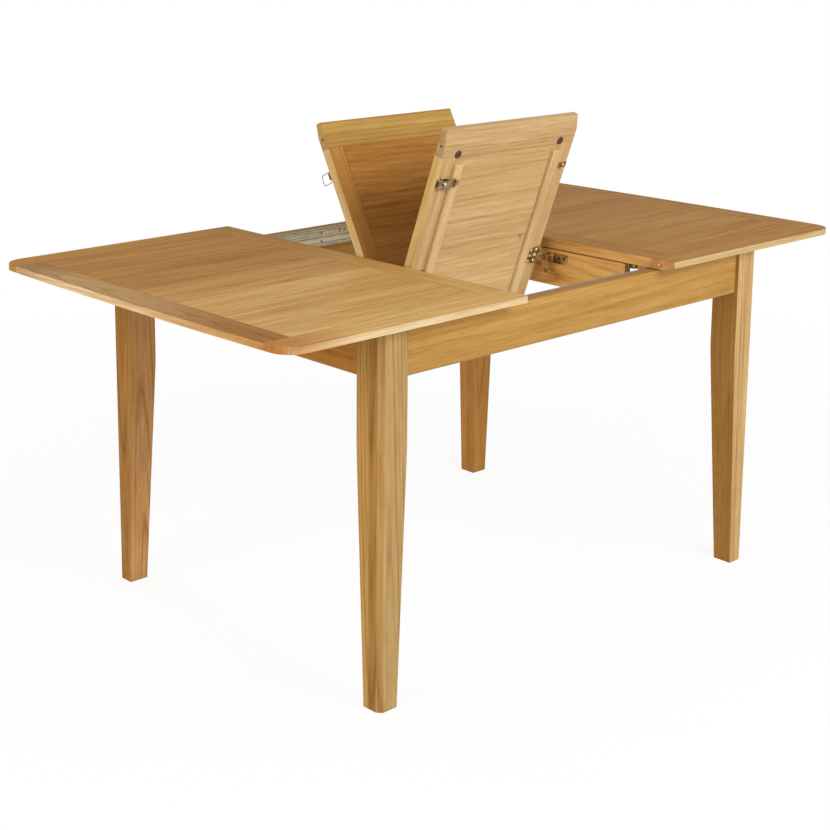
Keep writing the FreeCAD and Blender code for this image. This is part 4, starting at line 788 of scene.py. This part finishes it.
def screws(name, body, places, axis, material, head, lift=None):
    """Screw heads at places, facing along axis, all in the flat frame; head is radius and height."""
    mesh = bpy.data.meshes.new(name)
    matrix = LIFT[lift]
    mesh.from_pydata([matrix @ Vector(place) for place in places], [], [])
    made = bpy.data.objects.new(name, mesh)
    bpy.context.scene.collection.objects.link(made)
    facing = Vector(axis).to_track_quat("Z", "Y").to_matrix() @ Matrix.Rotation(SCREW_SPIN, 3, "Z")
    turn = (matrix.to_3x3() @ facing).to_euler()
    modifier = made.modifiers.new("screws", "NODES")
    modifier.node_group = SCREWS.tree
    values = {"Radius": head[0], "Height": head[1], "Turn": tuple(turn), "Finish": material}
    for label, value in values.items():
        modifier[SCREWS.ids[label]] = value
    settle(made)
    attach(made, body)


# Screw heads, as radius and height.
PLATE_SCREW = (3.4 * MM, 1.4 * MM)
BRACKET_SCREW = (4.2 * MM, 2.0 * MM)
BASE_SCREW = (2.4 * MM, 1.0 * MM)
DARK_RIVET = (3.6 * MM, 1.0 * MM)
BRIGHT_RIVET = (3.0 * MM, 1.0 * MM)
DOWN = (0, 0, -1)
SIGN_X = {"left": -1, "right": 1}
SIGN_Y = {"near": -1, "far": 1}

# Pivot plates: two columns of three screws, counted in pitches from the plate's outer end.
PIVOT_Y = -130 * MM
PLATE_OUT = 201 * MM
PLATE_UNDER = 746 * MM
PLATE_COLUMNS = (0.75, 2.1)
COLUMN_PITCH = 12.5 * MM
ROW_PITCH = 13.93 * MM
# Pivot brackets: three screws along each, as shares of its length.
BRACKET_FACE = 228.5 * MM
BRACKET_EDGE_Y = -118 * MM
BRACKET_LONG = 62 * MM
BRACKET_SCREW_Z = 728.2 * MM
BRACKET_SHARES = (0.42, 0.64, 0.86)
for side, sign in SIGN_X.items():
    places = [(sign * (PLATE_OUT - column * COLUMN_PITCH), PIVOT_Y + row * ROW_PITCH, PLATE_UNDER)
              for column in PLATE_COLUMNS for row in (-1, 0, 1)]
    screws("pivot_plate_screws_" + side, "near_leaf", places, DOWN, bright_screw,
           PLATE_SCREW, "near")
    places = [(sign * BRACKET_FACE, BRACKET_EDGE_Y - share * BRACKET_LONG, BRACKET_SCREW_Z)
              for share in BRACKET_SHARES]
    screws("bracket_screws_" + side, "base", places, (-sign, 0, 0), dark_steel, BRACKET_SCREW)

# Latches: one screw in each catch and in each base, given by its distance from the end or edge that
# carries it, and two rivets in each left lever, as shares of the lever's length.
LATCH_Y = 358 * MM
LATCH_SHEET = 1.2 * MM
LEAF_CATCH_SCREW = 9 * MM
LEAF_BASE_SCREW = 31 * MM
TOP_CATCH_SCREW = 8.5 * MM
TOP_BASE_SCREW = 28 * MM
LEVER_Y = 359 * MM
LEVER_LONG = 56 * MM
LEVER_FROM_END = 3 * MM
LEVER_PROUD = 10.6 * MM
LEVER_RIVETS = (("dark", 0.16, dark_steel, DARK_RIVET), ("bright", 0.30, bright_screw, BRIGHT_RIVET))
latch_face = LEAF_UNDER - LATCH_SHEET
for half, way in SIGN_Y.items():
    screws("catch_screw_" + half, half + "_leaf",
           [(LEAF_END - LEAF_CATCH_SCREW, way * LATCH_Y, latch_face)], DOWN, bright_screw, PLATE_SCREW, half)
    screws("latch_base_screw_" + half, half + "_leaf",
           [(LEAF_BASE_SCREW - LEAF_END, way * LATCH_Y, latch_face)], DOWN, bright_screw, BASE_SCREW, half)
for half, way in SIGN_Y.items():
    for label, share, finish, head in LEVER_RIVETS:
        place = (-LEAF_END + LEVER_FROM_END + share * LEVER_LONG, way * LEVER_Y, LEAF_UNDER - LEVER_PROUD)
        screws("lever_rivet_%s_%s" % (half, label), "latch_lever_%s_left" % half,
               [place], DOWN, finish, head, half)
catch_x = span("left_latch_hooks", "x")[1] - TOP_CATCH_SCREW
screws("catch_screws_left_top", "left_top",
       [(catch_x, way * LATCH_Y, latch_face) for way in SIGN_Y.values()], DOWN, bright_screw, PLATE_SCREW)
base_x = span("right_latch_bases", "x")[0] + TOP_BASE_SCREW
screws("latch_base_screws_right_top", "right_top",
       [(base_x, way * LATCH_Y, latch_face) for way in SIGN_Y.values()], DOWN, bright_screw, BASE_SCREW)


# ---- room, light and camera ---------------------------------------------------------------------
FLOOR_REACH = 40.0
# How much of the floor's white is its own glow near the table, and how much more of it far off,
# with the distances from the table's middle between which that grows.
NEAR_GLOW, FAR_GLOW = 0.90, 0.10
FLOOR_FADE = (0.9, 3.2)
WORLD_LEVEL = 0.50
WHITE = (1.0, 1.0, 1.0)
WARM = (1.0, 0.95, 0.87)
PAPER = (0.86, 0.86, 0.86)
# Each lamp: where it stands, what it looks at, its side, watts and colour.
LAMPS = {
    "key": ((0.4, -4.4, 2.8), (0, 0, 0.6), 2.6, 185, WHITE),
    "fill": ((-4.4, -0.4, 2.4), (0, 0, 0.6), 2.4, 90, WARM),
    "back": ((-0.8, 4.8, 2.4), (0, 0, 0.5), 2.4, 70, WHITE),
}


def pale_ground():
    """White paper: plain to the light, and paler still where it is seen directly or in a mirror."""
    g = Graph("studio ground")
    g.finish({"Base Color": PAPER, "Roughness": 0.9, "Specular IOR Level": 0.35})
    seen = g.node("ShaderNodeLightPath", out="Is Camera Ray")
    for ray in ("Is Glossy Ray", "Is Transmission Ray"):
        seen = seen.most(g.node("ShaderNodeLightPath", out=ray))
    x, y = g.parts(g.place())[:2]
    far_off = (x * x + y * y).root().ramp(*FLOOR_FADE)
    paper = Wire(g, g.shader.outputs["BSDF"])
    glow = g.node("ShaderNodeEmission", inputs={"Color": WHITE, "Strength": 1.0})
    share = seen * (NEAR_GLOW + far_off * FAR_GLOW)
    mixed = g.node("ShaderNodeMixShader", inputs={0: share, 1: paper, 2: glow})
    g.tree.links.new(mixed.socket, g.output.inputs["Surface"])
    return g.material


def stage_floor():
    mesh = bpy.data.meshes.new("studio floor")
    corners = [(-1, -1), (1, -1), (1, 1), (-1, 1)]
    mesh.from_pydata([(x * FLOOR_REACH, y * FLOOR_REACH, 0) for x, y in corners], [], [(0, 1, 2, 3)])
    floor = bpy.data.objects.new("studio_floor", mesh)
    bpy.context.scene.collection.objects.link(floor)
    mesh.materials.append(pale_ground())


def light_world(level):
    """A soft even light at level, which shows white where it is seen directly or in a mirror."""
    world = bpy.data.worlds.new("studio")
    bpy.context.scene.world = world
    world.use_nodes = True
    tree = world.node_tree
    tree.nodes.clear()
    rays = tree.nodes.new("ShaderNodeLightPath")
    seen = rays.outputs["Is Camera Ray"]
    for ray in ("Is Glossy Ray", "Is Transmission Ray"):
        either = tree.nodes.new("ShaderNodeMath")
        either.operation = "MAXIMUM"
        tree.links.new(seen, either.inputs[0])
        tree.links.new(rays.outputs[ray], either.inputs[1])
        seen = either.outputs[0]
    strength = tree.nodes.new("ShaderNodeMapRange")
    strength.inputs["To Min"].default_value = level
    strength.inputs["To Max"].default_value = 1.0
    tree.links.new(seen, strength.inputs["Value"])
    background = tree.nodes.new("ShaderNodeBackground")
    background.inputs["Color"].default_value = (*WHITE, 1.0)
    tree.links.new(strength.outputs["Result"], background.inputs["Strength"])
    output = tree.nodes.new("ShaderNodeOutputWorld")
    tree.links.new(background.outputs[0], output.inputs["Surface"])


def soft_box(name, place, target, size, watts, colour):
    lamp = bpy.data.lights.new(name, "AREA")
    lamp.shape = "SQUARE"
    lamp.size = size
    lamp.energy = watts
    lamp.color = colour
    made = bpy.data.objects.new(name, lamp)
    made.location = place
    made.rotation_mode = "QUATERNION"
    made.rotation_quaternion = (Vector(target) - Vector(place)).to_track_quat("-Z", "Y")
    bpy.context.scene.collection.objects.link(made)


def stand_camera():
    """A long lens at standing height, off the near left corner, looking slightly down."""
    place = (-2.5343, -2.5379, 1.4966)
    focal_px, width_px = 1632.0, 830.0
    centre_px = (336.2, 240.0)
    yaw, pitch = 0.8502, -0.1983
    data = bpy.data.cameras.new("camera")
    data.sensor_width = 36.0
    data.lens = focal_px / width_px * data.sensor_width
    data.shift_x = (width_px / 2 - centre_px[0]) / width_px
    data.shift_y = (centre_px[1] - width_px / 2) / width_px
    camera = bpy.data.objects.new("camera", data)
    forward = Vector((math.cos(pitch) * math.cos(yaw), math.cos(pitch) * math.sin(yaw), math.sin(pitch)))
    camera.rotation_mode = "QUATERNION"
    camera.rotation_quaternion = forward.to_track_quat("-Z", "Y")
    camera.location = place
    bpy.context.scene.collection.objects.link(camera)
    bpy.context.scene.camera = camera


stage_floor()
light_world(WORLD_LEVEL)
for name, lamp in LAMPS.items():
    soft_box(name, *lamp)
bpy.context.scene.view_settings.view_transform = "Standard"
stand_camera()
